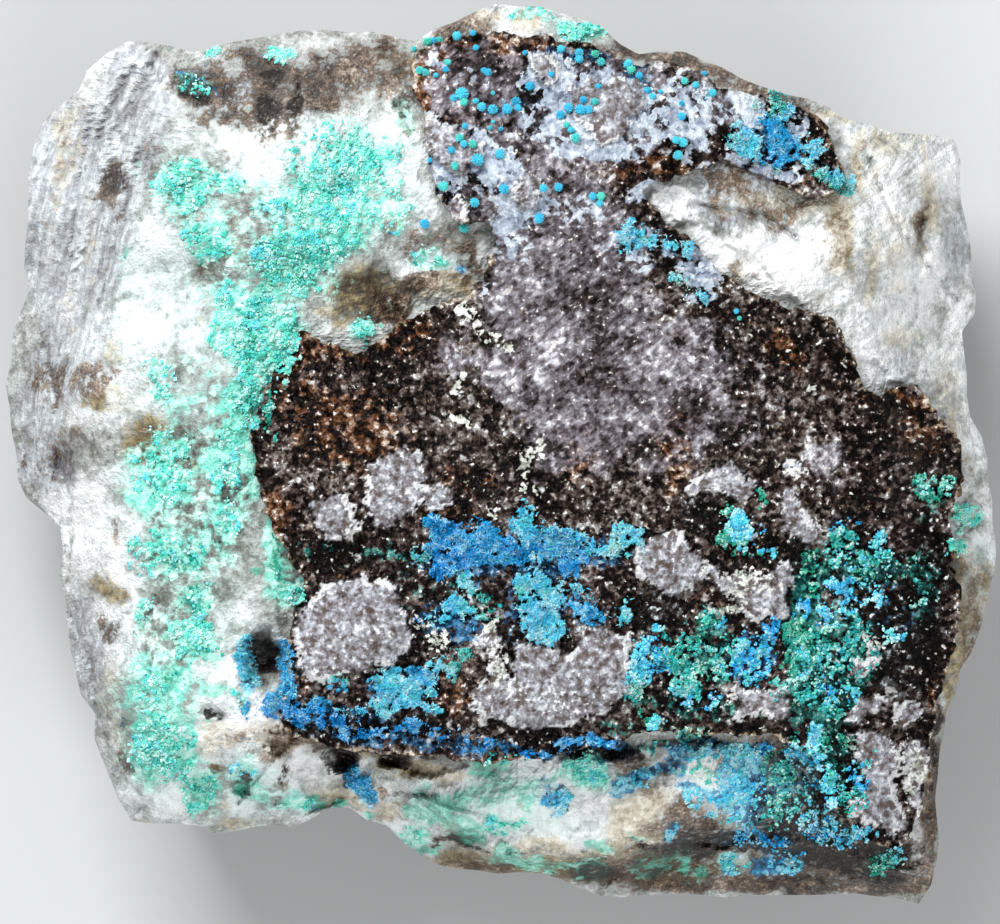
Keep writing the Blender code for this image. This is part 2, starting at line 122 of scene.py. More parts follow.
def depth_inside(points, outline):
    """How far each point is inside an outline given on the sheet, in metres; negative outside."""
    corners = placed(outline)
    nearest = np.full(len(points), np.inf)
    inside = np.zeros(len(points), bool)
    for start, end in zip(corners, np.roll(corners, -1, axis=0)):
        side = end - start
        to_point = points[:, :2] - start
        share = np.clip(to_point @ side / (side @ side), 0, 1)
        nearest = np.minimum(nearest, np.hypot(*(to_point - share[:, None] * side).T))
        spans = (start[1] > points[:, 1]) != (end[1] > points[:, 1])
        crossing = start[0] + (points[:, 1] - start[1]) * side[0] / (side[1] or 1)
        inside ^= spans & (points[:, 0] < crossing)
    return np.where(inside, nearest, -nearest)


def rough(points, size, seed, octaves=4):
    """Fractal noise from about -1 to 1, with lumps about `size` metres across."""
    shift = Vector((seed, 0, 0))
    return np.array([noise.fractal(Vector(point) / size + shift, 0.8, 2.0, octaves) for point in points])


def flattened(points, level=0.5):
    """The points all at one height, so that noise measured at them doesn't change with their relief."""
    return np.column_stack([points[:, :2], np.full(len(points), level)])


def wandered(points):
    """Points moved by 0.7 mm of noise: a blot measured at them is as ragged as a real stain."""
    flat = flattened(points)
    moved = points.copy()
    for axis, seed in enumerate((51.0, 52.0)):
        moved[:, axis] += 0.7 * MM * rough(flat, 2.2 * MM, seed)
    return moved


def blocky(points, size, seed=0.0):
    """Broken rock, from about -1 to 1: each cell has its own level and tilt, and slopes to the joints."""
    levels = []
    for point in points:
        place = Vector(point) / size + Vector((seed, 0, 0))
        distances, centres = noise.voronoi(place)
        level = noise.cell(centres[0] * 7.3)
        tilt = (place - centres[0]).x * noise.cell(centres[0] * 3.1 + Vector((5, 1, 2)))
        levels.append((level + 1.3 * tilt) * smooth_step(0.0, 0.25, distances[1] - distances[0]))
    return np.array(levels)


# %% [markdown]
# ## Solids to measure against
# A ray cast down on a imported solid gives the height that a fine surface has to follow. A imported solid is
# loose triangles, so a copy of it is merged first.

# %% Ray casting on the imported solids
def solid_of(node):
    bm = bmesh.new()
    bm.from_mesh(bpy.data.objects[node].data)
    bmesh.ops.remove_doubles(bm, verts=bm.verts, dist=1e-6)
    tree = BVHTree.FromBMesh(bm)
    bm.free()
    return tree


ABOVE = 0.1
DOWN = Vector((0, 0, -1))


def height_on(tree, x, y):
    """The height of a solid's top at a place, or NaN beside it."""
    hit = tree.ray_cast(Vector((x, y, ABOVE)), DOWN)[0]
    return hit.z if hit else math.nan


rock_solid = solid_of("host_rock")
crust_solid = solid_of("iron_crust")


def blurred(grid, passes):
    """A grid of numbers smoothed with its neighbours; NaN takes its neighbours' values."""
    known = np.isfinite(grid).astype(float)
    total = np.where(known > 0, grid, 0)
    for field in (total, known, total.T, known.T) * passes:
        padded = np.pad(field, ((1, 1), (0, 0)), mode="edge")
        field *= 0.5
        field += 0.25 * (padded[:-2] + padded[2:])
    return total / np.maximum(known, 1e-9)


# %% [markdown]
# ## Where the iron crust lies
# The crust is a thin sheet with a ragged rim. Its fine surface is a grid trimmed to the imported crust's
# coverage. The coverage is blurred into a smooth slope across the rim, and noise on that slope decides where
# the sheet ends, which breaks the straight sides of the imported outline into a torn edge.

# %% The crust's coverage, height and underside on a grid
CRUST_STEP = 0.000155
crust_low, crust_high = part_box("iron_crust")
MARGIN = 0.0012
crust_columns = round((crust_high.x - crust_low.x + 2 * MARGIN) / CRUST_STEP)
crust_rows = round((crust_high.y - crust_low.y + 2 * MARGIN) / CRUST_STEP)
grid_x = np.linspace(crust_low.x - MARGIN, crust_high.x + MARGIN, crust_columns + 1)
grid_y = np.linspace(crust_low.y - MARGIN, crust_high.y + MARGIN, crust_rows + 1)
crust_height = np.array([[height_on(crust_solid, x, y) for x in grid_x] for y in grid_y])
COVERAGE_BLUR = 14
coverage = blurred(np.isfinite(crust_height).astype(float), COVERAGE_BLUR)
SLOPE_WIDTH = 2.5 * math.sqrt(COVERAGE_BLUR / 2) * CRUST_STEP
crust_depth = (coverage - 0.5) * SLOPE_WIDTH


def sampled(grid, points):
    """Values of a grid over the crust at any points, read between its lines."""
    column = np.clip((points[:, 0] - grid_x[0]) / (grid_x[1] - grid_x[0]), 0, crust_columns - 1e-6)
    row = np.clip((points[:, 1] - grid_y[0]) / (grid_y[1] - grid_y[0]), 0, crust_rows - 1e-6)
    left, below = column.astype(int), row.astype(int)
    across, up = column - left, row - below
    lower = grid[below, left] * (1 - across) + grid[below, left + 1] * across
    upper = grid[below + 1, left] * (1 - across) + grid[below + 1, left + 1] * across
    return lower * (1 - up) + upper * up


print("crust grid", crust_height.shape, "covered", round(float(np.isfinite(crust_height).mean()), 3))

# %% [markdown]
# ## The host rock's mesh
# The block is drawn as a square grid stretched over its face, whose border is drawn down in rings to the
# base. The square goes to the block's outline along straight lines from its middle, so its corners land on
# the block's corners and the cells stay nearly even. The stretching needs the block's reach in each
# direction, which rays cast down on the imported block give.

# %% The block's reach in every direction
DIRECTIONS = 1440
CORNERS = {
    "top_left": (122, 40), "top_right": (957, 139), "bottom_right": (921, 906), "bottom_left": (127, 822),
}
HALVINGS = 14


def reach_at(angle):
    """How far the block goes from its middle at an angle, by halving the span between a hit and a miss."""
    inside, outside = 0.01, 0.06
    for _ in range(HALVINGS):
        middle = (inside + outside) / 2
        if math.isnan(height_on(rock_solid, middle * math.cos(angle), middle * math.sin(angle))):
            outside = middle
        else:
            inside = middle
    return inside


angles = np.linspace(-math.pi, math.pi, DIRECTIONS + 1)
reach = np.array([reach_at(angle) for angle in angles])
SMOOTHING = 60
wrapped = np.concatenate([reach[-SMOOTHING - 1:-1], reach, reach[1:SMOOTHING + 1]])
WINDOW = 2 * SMOOTHING + 1
smooth_reach = np.convolve(wrapped, np.ones(WINDOW) / WINDOW, "valid")
print("the block reaches", round(reach.min() / MM, 1), "to", round(reach.max() / MM, 1), "mm from its middle")

# %% The grid and its rings, as a plain box of levels
FACE_COLUMNS = 268
FACE_ROWS = 244
SIDE_RINGS = 26


def level_box():
    """A square grid at level 0 whose border goes down one level a ring, closed at the bottom."""
    bm = bmesh.new()
    bmesh.ops.create_grid(bm, x_segments=FACE_COLUMNS, y_segments=FACE_ROWS, size=1)
    border = [edge for edge in bm.edges if edge.is_boundary]
    for _ in range(SIDE_RINGS):
        drawn = bmesh.ops.extrude_edge_only(bm, edges=border)["geom"]
        ring = [part for part in drawn if isinstance(part, bmesh.types.BMVert)]
        border = [part for part in drawn if isinstance(part, bmesh.types.BMEdge)]
        bmesh.ops.translate(bm, vec=(0, 0, -1), verts=ring)
    bmesh.ops.contextual_create(bm, geom=border)
    bmesh.ops.recalc_face_normals(bm, faces=bm.faces)
    return bm


def positions(mesh):
    """A mesh's points as rows of x, y and z."""
    flat = np.empty(len(mesh.vertices) * 3, np.float32)
    mesh.vertices.foreach_get("co", flat)
    return flat.reshape(-1, 3).astype(float)


def set_positions(mesh, points):
    mesh.vertices.foreach_set("co", np.ascontiguousarray(points, np.float32).ravel())
    mesh.update()


def new_piece(name, mesh):
    """Puts a mesh in the scene as a piece that rides on the one body."""
    piece = bpy.data.objects.new(name, mesh)
    bpy.context.scene.collection.objects.link(piece)
    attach(piece, "root")
    return piece


def paint(mesh, name, values):
    """Stores one number a vertex for a finish to read."""
    attribute = mesh.attributes.new(name, "FLOAT", "POINT")
    attribute.data.foreach_set("value", np.ascontiguousarray(values, np.float32))


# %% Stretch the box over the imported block
rock_mesh = bpy.data.meshes.new("host_rock_surface")
level_box_bm = level_box()
level_box_bm.to_mesh(rock_mesh)
level_box_bm.free()
box_points = positions(rock_mesh)
spread = np.abs(box_points[:, :2]).max(1)
spread[spread < 1e-9] = 1e-9
rim = box_points[:, :2] / spread[:, None]
corner = {name: placed(place) for name, place in CORNERS.items()}
right_share, top_share = (rim[:, 0:1] + 1) / 2, (rim[:, 1:2] + 1) / 2
towards = (
    (1 - right_share) * (1 - top_share) * corner["bottom_left"]
    + right_share * (1 - top_share) * corner["bottom_right"]
    + (1 - right_share) * top_share * corner["top_left"]
    + right_share * top_share * corner["top_right"]
)
bearing = np.arctan2(towards[:, 1], towards[:, 0])
full = np.interp(bearing, angles, reach)
even = np.interp(bearing, angles, smooth_reach)
distance = spread * even + spread**8 * (full - even)
rock_points = np.zeros_like(box_points)
rock_points[:, 0] = np.cos(bearing) * distance
rock_points[:, 1] = np.sin(bearing) * distance

# The grid was made first, so the face's points come before the side's.
face_count = (FACE_COLUMNS + 1) * (FACE_ROWS + 1)
RIM_INSET = 0.9985
FACE_BLUR = 6
heights = [height_on(rock_solid, x * RIM_INSET, y * RIM_INSET) for x, y in rock_points[:face_count, :2]]
face_grid = np.array(heights).reshape(FACE_ROWS + 1, FACE_COLUMNS + 1)
face_grid[1:-1, 1:-1] = blurred(face_grid, FACE_BLUR)[1:-1, 1:-1]
rock_points[:face_count, 2] = face_grid.ravel()
print("the face has", face_count, "points")

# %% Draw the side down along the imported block
on_rim = np.flatnonzero(spread[:face_count] > 0.9999)
rim_places = map(tuple, box_points[on_rim, :2].round(5))
rim_height = dict(zip(rim_places, rock_points[on_rim, 2]))
FAR = 0.08
LOWEST_RAY = 0.00002


def side_reach(angle, height, fallback):
    """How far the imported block's side is from its middle at an angle and a height."""
    out = Vector((math.cos(angle), math.sin(angle), 0))
    hit = rock_solid.ray_cast(out * FAR + Vector((0, 0, height)), -out)[0]
    return min(fallback, hit.xy.length) if hit else fallback


for index in range(face_count, len(rock_points)):
    level = -box_points[index, 2] / SIDE_RINGS
    top = rim_height[tuple(box_points[index, :2].round(5))]
    height = top * (1 - level)
    angle = bearing[index]
    out = side_reach(angle, max(height, LOWEST_RAY), full[index])
    rock_points[index] = (math.cos(angle) * out, math.sin(angle) * out, height)
print("the rock has", len(rock_points), "points")

# %% [markdown]
# ## Where the crystals grow
# The crystals come in patches that run over the crust's and the rock's surface: velvet of blue needles on
# the crust and in the hollow, granular turquoise and green on the quartz and the crust's right side. One list
# says where each colour grows. It raises and tints the surfaces below, and later it also places the crystals.

# %% Colours of crystals: shades of blue and green by how strongly each grows where
AZURE, BLUE, SKY, TURQUOISE, TEAL, JADE, GREEN = 0.0, 0.2, 0.4, 0.6, 0.8, 0.95, 1.0
TURQUOISE_CLUMPS = [
    (345, 170, 50, 40, .72), (300, 262, 38, 30, .78), (335, 225, 34, 34, .56), (183, 188, 28, 26, .66),
    (230, 182, 16, 14, .56), (240, 325, 26, 36, .68), (250, 395, 20, 42, .72), (278, 345, 18, 36, .72),
    (165, 470, 30, 34, .51), (225, 455, 16, 30, .61), (165, 555, 36, 24, .51), (300, 588, 14, 13, .81),
    (192, 640, 20, 20, .66), (165, 750, 32, 34, .66), (200, 795, 14, 16, .66), (432, 262, 18, 10, .56),
    (365, 330, 11, 13, .86), (280, 52, 18, 9, .7), (214, 56, 8, 6, .6), (196, 82, 12, 12, .4),
    (585, 26, 30, 11, .7), (530, 16, 20, 7, .5), (968, 515, 16, 11, .6), (960, 545, 12, 12, .6),
    (935, 486, 16, 10, .5), (395, 215, 20, 16, .46), (150, 700, 16, 30, .51), (205, 240, 26, 20, .41),
    (230, 515, 14, 20, .56), (200, 600, 14, 14, .51), (145, 610, 12, 16, .46), (160, 380, 20, 20, .36),
    (275, 210, 20, 16, .41), (240, 700, 12, 10, .46),
]
CRYSTALS = {
    "seam_needles": ("cyanotrichite_seam", [
        (AZURE, [
            (447, 545, 22, 20, 1), (456, 558, 16, 14, 1), (570, 565, 14, 9, .9), (440, 570, 14, 8, .8),
            (560, 545, 24, 12, .5), (495, 548, 26, 16, .6),
        ]),
        (BLUE, [
            (436, 530, 12, 12, 1), (480, 540, 26, 18, 1), (512, 552, 28, 14, 1), (545, 545, 36, 18, .9),
            (578, 607, 14, 10, .8), (592, 612, 12, 6, .6), (425, 622, 8, 6, .8), (570, 572, 12, 8, .8),
        ]),
        (SKY, [
            (522, 527, 18, 10, .9), (566, 544, 18, 15, .9), (500, 555, 14, 9, .7), (538, 592, 20, 18, 1),
            (543, 618, 22, 20, 1), (546, 636, 10, 8, 1), (467, 585, 7, 14, .9), (600, 548, 16, 10, .7),
            (625, 540, 16, 15, .8), (535, 565, 8, 14, .7), (555, 535, 26, 8, .7), (452, 605, 12, 7, .7),
            (628, 608, 8, 12, .9), (465, 613, 12, 8, .7), (440, 622, 10, 7, .5), (522, 512, 6, 8, .7),
            (608, 603, 8, 6, .5), (575, 595, 12, 8, .5), (417, 550, 11, 9, .6),
        ]),
    ]),
    "top_needles": ("cyanotrichite_top_patch", [
        (BLUE, [
            (783, 148, 18, 11, 1), (776, 128, 12, 16, 1), (770, 160, 14, 8, .6), (800, 150, 8, 8, .9),
            (762, 115, 6, 7, .6), (790, 135, 14, 14, .7), (752, 128, 8, 8, .5),
        ]),
        (SKY, [
            (750, 142, 12, 14, .9), (752, 155, 10, 8, .7), (836, 178, 14, 10, .8), (812, 152, 14, 12, .6),
            (742, 128, 10, 10, .6), (820, 170, 12, 10, .4), (632, 236, 12, 16, .9), (655, 242, 22, 11, 1),
            (685, 248, 6, 12, .9), (692, 290, 12, 10, .6), (703, 300, 5, 10, .5), (678, 280, 8, 7, .6),
            (790, 112, 10, 6, .4), (700, 90, 8, 6, .5),
        ]),
        (TEAL, [
            (775, 102, 16, 10, .9), (772, 168, 12, 5, .5), (823, 178, 12, 12, .5), (840, 190, 8, 7, .6),
            (736, 140, 8, 6, .4), (678, 284, 6, 6, .7), (688, 292, 8, 6, .6),
        ]),
    ]),
    "lower_needles": ("cyanotrichite_lower_patch", [
        (BLUE, [
            (423, 669, 11, 8, 1), (376, 685, 6, 16, .6), (337, 683, 7, 9, .6), (352, 714, 12, 6, .7),
            (316, 706, 12, 5, .7), (410, 727, 22, 5, .7),
        ]),
        (SKY, [
            (395, 680, 20, 15, 1), (410, 692, 22, 16, 1), (382, 700, 12, 14, 1), (428, 705, 10, 7, .7),
            (440, 664, 12, 9, .7), (452, 668, 12, 7, .6), (350, 712, 12, 5, .6),
        ]),
        (TEAL, [
            (452, 668, 14, 9, .6), (462, 655, 10, 10, .5), (484, 605, 12, 13, .5), (340, 676, 10, 8, .4),
            (416, 552, 10, 8, .6),
        ]),
    ]),
    "hollow_needles": ("cyanotrichite_hollow_patch", [
        (AZURE, [
            (290, 708, 26, 7, .5), (320, 718, 26, 7, .5), (350, 727, 22, 6, .4), (385, 730, 30, 6, .5),
            (430, 730, 30, 7, .5), (480, 740, 34, 6, .4), (270, 700, 12, 8, .5), (590, 742, 30, 6, .5),
            (540, 750, 30, 5, .4),
        ]),
        (BLUE, [
            (283, 660, 10, 18, 1), (288, 684, 8, 14, 1), (276, 698, 14, 8, 1), (248, 706, 6, 7, .8),
            (355, 770, 7, 10, .8), (365, 785, 6, 12, .8), (371, 795, 5, 8, .8),
        ]),
        (SKY, [
            (246, 641, 10, 9, .8), (244, 662, 11, 12, .8), (246, 678, 12, 12, .8), (238, 700, 5, 6, .5),
            (250, 775, 6, 8, .5),
        ]),
    ]),
    "right_grains": ("green_crust_right", [
        (BLUE, [
            (845, 523, 22, 5, .5), (828, 616, 16, 10, .5), (842, 606, 12, 8, .4), (850, 592, 22, 8, .4),
            (825, 690, 20, 10, .4), (800, 606, 8, 10, .4),
        ]),
        (SKY, [
            (881, 542, 11, 13, .5), (888, 637, 14, 6, .7), (850, 585, 26, 7, .4), (833, 612, 20, 12, .4),
            (815, 660, 20, 20, .3), (838, 690, 22, 14, .4), (816, 742, 7, 18, .8), (800, 752, 14, 8, .7),
            (865, 600, 20, 14, .3), (860, 560, 30, 18, .3),
        ]),
        (TEAL, [
            (840, 537, 15, 10, .8), (850, 556, 24, 14, .5), (880, 565, 20, 20, .4), (905, 556, 10, 7, .5),
            (830, 650, 26, 30, .4), (834, 708, 13, 13, .6), (916, 592, 14, 12, .4), (815, 690, 20, 16, .4),
            (850, 640, 30, 40, .3), (790, 690, 20, 14, .3), (835, 770, 14, 26, .3),
        ]),
        (GREEN, [
            (808, 566, 14, 14, .7), (870, 563, 14, 9, .7), (797, 630, 14, 14, .8), (798, 655, 15, 16, .6),
            (822, 640, 10, 10, .6), (862, 578, 16, 12, .4), (815, 592, 10, 8, .4), (895, 568, 14, 14, .3),
            (930, 497, 8, 6, .7), (917, 484, 6, 6, .6), (944, 482, 8, 7, .6), (880, 870, 14, 6, .6),
            (826, 746, 8, 12, .4), (838, 700, 10, 10, .4),
        ]),
    ]),
    "middle_grains": ("green_crust_middle", [
        (BLUE, [
            (750, 656, 22, 20, .8), (770, 632, 9, 14, .7), (655, 660, 10, 20, .5), (752, 532, 14, 14, .3),
            (695, 700, 14, 8, .4), (720, 690, 20, 8, .3),
        ]),
        (SKY, [
            (645, 662, 10, 22, .9), (634, 680, 10, 8, .8), (678, 694, 14, 10, .7), (738, 524, 12, 14, .7),
            (745, 645, 16, 14, .4), (720, 622, 9, 8, .6), (765, 553, 10, 6, .7), (712, 700, 6, 4, .6),
            (660, 628, 4, 4, .8), (740, 548, 10, 5, .5), (655, 722, 14, 5, .4), (757, 668, 16, 6, .5),
        ]),
        (TEAL, [
            (677, 652, 18, 20, .9), (682, 684, 16, 12, .8), (700, 650, 14, 14, .5), (715, 660, 14, 14, .5),
            (735, 655, 20, 22, .4), (704, 614, 9, 8, .6), (638, 700, 8, 8, .5), (762, 650, 16, 16, .4),
        ]),
        (GREEN, [
            (680, 645, 12, 12, .7), (725, 540, 8, 9, .8), (728, 512, 7, 6, .8), (742, 540, 7, 6, .7),
            (700, 634, 10, 8, .6), (702, 662, 10, 10, .5), (745, 555, 16, 5, .5), (636, 690, 6, 5, .7),
            (705, 615, 7, 6, .6), (760, 500, 6, 8, .4), (640, 715, 8, 5, .5), (695, 730, 16, 5, .5),
        ]),
    ]),
    "shelf_grains": (None, [
        (SKY, [
            (700, 752, 22, 12, .7), (742, 752, 14, 10, .8), (735, 785, 20, 20, .75), (752, 805, 16, 16, .48),
            (640, 775, 22, 10, .7), (558, 802, 9, 13, .6), (800, 752, 14, 18, .58), (815, 765, 18, 14, .58),
            (792, 790, 14, 12, .38), (832, 785, 20, 14, .58), (805, 812, 22, 12, .58),
            (838, 838, 16, 12, .58), (862, 842, 14, 12, .48), (700, 800, 14, 10, .5), (735, 868, 10, 8, .6),
            (785, 865, 16, 8, .48), (895, 858, 10, 10, .38), (672, 832, 7, 6, .6), (235, 770, 8, 8, .5),
            (722, 815, 16, 8, .5),
        ]),
        (BLUE, [
            (765, 745, 8, 10, .7), (770, 838, 26, 8, .7), (745, 832, 22, 8, .6), (790, 855, 16, 8, .6),
            (855, 775, 10, 12, .6), (822, 828, 16, 8, .6), (760, 790, 6, 18, .5), (600, 742, 30, 4, .5),
            (548, 800, 6, 10, .4),
        ]),
        (TEAL, [
            (775, 772, 16, 10, .8), (790, 800, 18, 14, .7), (845, 800, 14, 20, .5), (655, 742, 20, 5, .5),
            (690, 735, 16, 5, .6), (712, 735, 10, 5, .6), (780, 820, 14, 8, .5), (893, 862, 10, 8, .6),
            (505, 758, 20, 4, .5), (820, 750, 8, 12, .6), (865, 760, 10, 16, .4), (150, 745, 12, 14, .4),
        ]),
        (GREEN, [
            (785, 778, 12, 8, .7), (800, 735, 10, 6, .6), (770, 760, 8, 8, .5), (882, 868, 14, 7, .7),
            (842, 745, 8, 10, .6),
        ]),
        (TURQUOISE, [
            (586, 766, 16, 13, .95), (572, 760, 8, 6, .6), (598, 778, 8, 8, .7), (700, 775, 14, 8, .4),
            (414, 836, 18, 9, .5), (500, 826, 22, 4, .6), (308, 802, 10, 6, .6), (735, 862, 14, 10, .5),
            (780, 800, 10, 14, .5),
        ]),
    ]),
    "turquoise_grains": ("green_crust_left", [
        (TURQUOISE, TURQUOISE_CLUMPS),
        (JADE, [
            (290, 262, 26, 18, .8), (325, 258, 20, 14, .75), (262, 305, 14, 16, .7), (345, 185, 14, 12, .5),
            (250, 345, 12, 20, .7), (268, 410, 8, 24, .7), (240, 395, 10, 18, .6), (219, 455, 9, 11, .6),
            (180, 560, 20, 11, .6), (193, 599, 8, 10, .6), (200, 650, 17, 9, .6), (182, 676, 12, 9, .5),
            (300, 592, 8, 6, .5), (160, 765, 12, 10, .4), (201, 788, 11, 10, .6), (275, 555, 5, 24, .5),
            (183, 188, 12, 9, .45), (430, 262, 12, 4, .4),
        ]),
    ]),
}

# %% Their cover and hue on a surface
def clumped(points, cover):
    """Breaks a smooth cover up into clumps with ragged edges and crumbs around them."""
    flat = flattened(points)
    breaks = 0.65 * rough(flat, 1.2 * MM, 41.0, octaves=3) + 0.8 * rough(flat, 0.42 * MM, 42.0, octaves=2)
    return smooth_step(0.38, 0.62, cover + breaks * smooth_step(0.04, 0.3, cover))


def cushions(points):
    """Rounded lumps from 0 to 1, about a millimetre across."""
    return np.clip(0.5 + 1.1 * rough(flattened(points), 0.9 * MM, 43.0, octaves=2), 0, 1)


def crystal_cover(points):
    """How thickly crystals cover each point, from 0 to 1, and their mean hue there."""
    groups = [group for _, groups in CRYSTALS.values() for group in groups]
    moved = wandered(points)
    covers = np.array([blotted(moved, blots, 0.5) for _, blots in groups])
    hues = np.array([hue for hue, _ in groups])
    return clumped(points, covers.max(0)), (covers * hues[:, None]).sum(0) / (covers.sum(0) + 1e-6)


# %% [markdown]
# ## The broken surface of the quartz
# Vein quartz breaks in blocks with flat faces and sharp joints, and its surface between them is sugary. The
# left side is a striated slickenside: a face that slid against another and was drawn into fine parallel
# ridges. All of this is real relief: each point moves by noise of the right size, and not at all under the
# crust.

# %% Relief on the face
SLIDE_TOP, SLIDE_FOOT = placed([(165, 50), (60, 400)])
SILVER_BAND = [
    (135, 90, 30, 45, 1), (118, 170, 30, 60, 1), (100, 250, 30, 60, 1), (75, 330, 30, 60, .9),
    (60, 150, 40, 70, .8), (45, 250, 35, 60, .8), (40, 400, 35, 60, .6), (35, 470, 20, 30, .6),
    (85, 690, 25, 60, .6), (80, 620, 20, 50, .6),
]


def striated(points, start, end, across, along, seed):
    """Noise drawn out along the line from start to end."""
    line = (end - start) / np.linalg.norm(end - start)
    sideways = np.array([-line[1], line[0]])
    flat = points[:, :2]
    drawn = np.column_stack([flat @ sideways / across, flat @ line / along, points[:, 2] / across])
    return rough(drawn, 1.0, seed)


MOUNDS = [
    (708, 778, 36, 28, .7), (412, 828, 36, 22, .8), (520, 792, 34, 30, .8), (645, 805, 34, 26, .6),
    (585, 770, 26, 16, .5), (590, 845, 60, 14, .7), (450, 812, 30, 18, .5), (300, 765, 34, 18, .6),
    (170, 765, 40, 40, .4), (790, 770, 34, 20, .4), (150, 300, 40, 60, .3), (300, 170, 60, 60, .35),
    (765, 262, 70, 30, .5), (885, 200, 40, 60, .4), (95, 510, 40, 50, .4), (190, 500, 30, 40, .4),
    (880, 340, 30, 40, .3), (215, 640, 30, 40, .3), (560, 24, 50, 14, .5), (110, 600, 30, 30, .3),
]
PITS = [
    (338, 757, 16, 13, 1.6), (395, 762, 16, 11, 1.1), (264, 656, 14, 26, 1.5), (241, 784, 8, 10, .9),
    (211, 713, 7, 6, .5), (112, 182, 14, 20, .6), (745, 836, 60, 9, .6), (602, 747, 40, 8, .9),
    (472, 836, 34, 7, .4), (602, 880, 18, 9, .4), (255, 285, 14, 12, .3), (310, 90, 60, 20, .3),
    (60, 470, 14, 20, .6), (380, 300, 40, 26, .8), (440, 765, 40, 8, .5), (830, 800, 14, 34, .6),
    (690, 738, 40, 6, .5), (235, 610, 16, 20, .3), (925, 240, 8, 30, .4),
]
GROOVES = [
    (5.5, [(155, 54), (140, 85), (121, 117), (110, 138)]), (5, [(131, 68), (115, 94), (104, 120), (98, 136)]),
    (3, [(98, 80), (84, 140), (74, 200), (70, 260)]),
    (3, [(139, 150), (128, 195), (124, 222), (112, 262), (98, 310)]),
    (4, [(293, 738), (262, 770), (238, 802)]), (5, [(40, 335), (58, 400), (50, 440), (70, 500), (66, 560)]),
    (4, [(395, 790), (440, 800), (480, 815), (530, 830)]), (5, [(60, 600), (90, 660), (98, 720)]),
    (4, [(870, 160), (900, 230), (960, 300)]), (4, [(690, 205), (760, 216), (800, 240)]),
    (4, [(340, 800), (300, 815), (270, 800)]),
]
RIDGES = [
    (7, [
        (395, 800), (426, 803), (455, 826), (482, 839), (513, 852), (553, 855), (620, 857), (672, 838),
        (728, 829),
    ]),
    (6, [(760, 822), (820, 845), (873, 866), (925, 870)]),
    (5, [(289, 727), (316, 731), (347, 742), (379, 743)]),
    (6, [(145, 60), (112, 140), (96, 200), (72, 270)]),
    (6, [(650, 205), (720, 235), (790, 290), (850, 350), (900, 378)]),
]

face_points = rock_points[:face_count]
covered = sampled(crust_depth, face_points)
bare = 1 - smooth_step(-0.6 * MM, 0.5 * MM, covered)
silver = blotted(face_points, SILVER_BAND)
flat_places = flattened(face_points)
blocks = blocky(flat_places, 3.4 * MM)
chips = blocky(flat_places, 1.2 * MM, seed=4.0)
sugar = rough(flat_places, 1.6 * MM, 2.0)
grains = rough(flat_places, 0.45 * MM, 6.0, octaves=2)
ridges = striated(flat_places, SLIDE_TOP, SLIDE_FOOT, 0.7 * MM, 6 * MM, 9.0)
torn_places = face_points + 0.6 * MM * np.column_stack([sugar, rough(flat_places, 1.6 * MM, 3.0), sugar])
fine_relief = 0.26 * blocks + 0.12 * chips + 0.20 * sugar + 0.11 * grains
fine_relief += silver * (0.34 * ridges - 0.08 * chips)
forms = 1.2 * blotted(torn_places, MOUNDS) + 0.5 * traced(torn_places, RIDGES)
forms -= 0.45 * traced(face_points, GROOVES)
forms -= 1.3 * blotted(torn_places, PITS, 0.4)
SOFT_PLACES = [(215, 300, 130, 200, .8), (350, 180, 100, 90, .8), (200, 620, 90, 170, .7)]
soft = blotted(face_points, SOFT_PLACES)
relief = (1 - 0.4 * soft) * fine_relief + forms
relief += crystal_cover(face_points)[0] * (0.08 + 0.26 * cushions(face_points))
rock_points[:face_count, 2] += bare * relief * MM
print("face relief from", round((bare * relief).min(), 2), "to", round((bare * relief).max(), 2), "mm")

# %% Relief on the sides
side_points = rock_points[face_count:]
side_levels = -box_points[face_count:, 2] / SIDE_RINGS
outward = np.column_stack([np.cos(bearing[face_count:]), np.sin(bearing[face_count:])])
off_base = smooth_step(0, 0.08, side_levels) * (1 - smooth_step(0.93, 1.0, side_levels))
side_relief = 0.55 * blocky(side_points, 4.2 * MM) + 0.22 * blocky(side_points, 1.6 * MM, seed=3.0)
side_relief += 0.25 * rough(side_points, 1.5 * MM, 5.0)
SIDE_INSET = 0.6
rock_points[face_count:, :2] += outward * ((side_relief - SIDE_INSET) * off_base * MM)[:, None]
set_positions(rock_mesh, rock_points)
host_rock_surface = new_piece("host_rock_surface", rock_mesh)
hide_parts("host_rock")

# %% [markdown]
# ## The iron crust's sheet
# The crust is a sheet under 2 mm thick. Its fine piece is a grid that loses the cells outside the torn rim.
# The rim is then drawn down in rings: first out over a rounded lip, then in under it, and last down into the
# rock, where the sheet is closed out of sight. The grey plates on it are patches of another mineral, a third
# of a millimetre thick with crisp torn edges, so they are raised in the same grid.

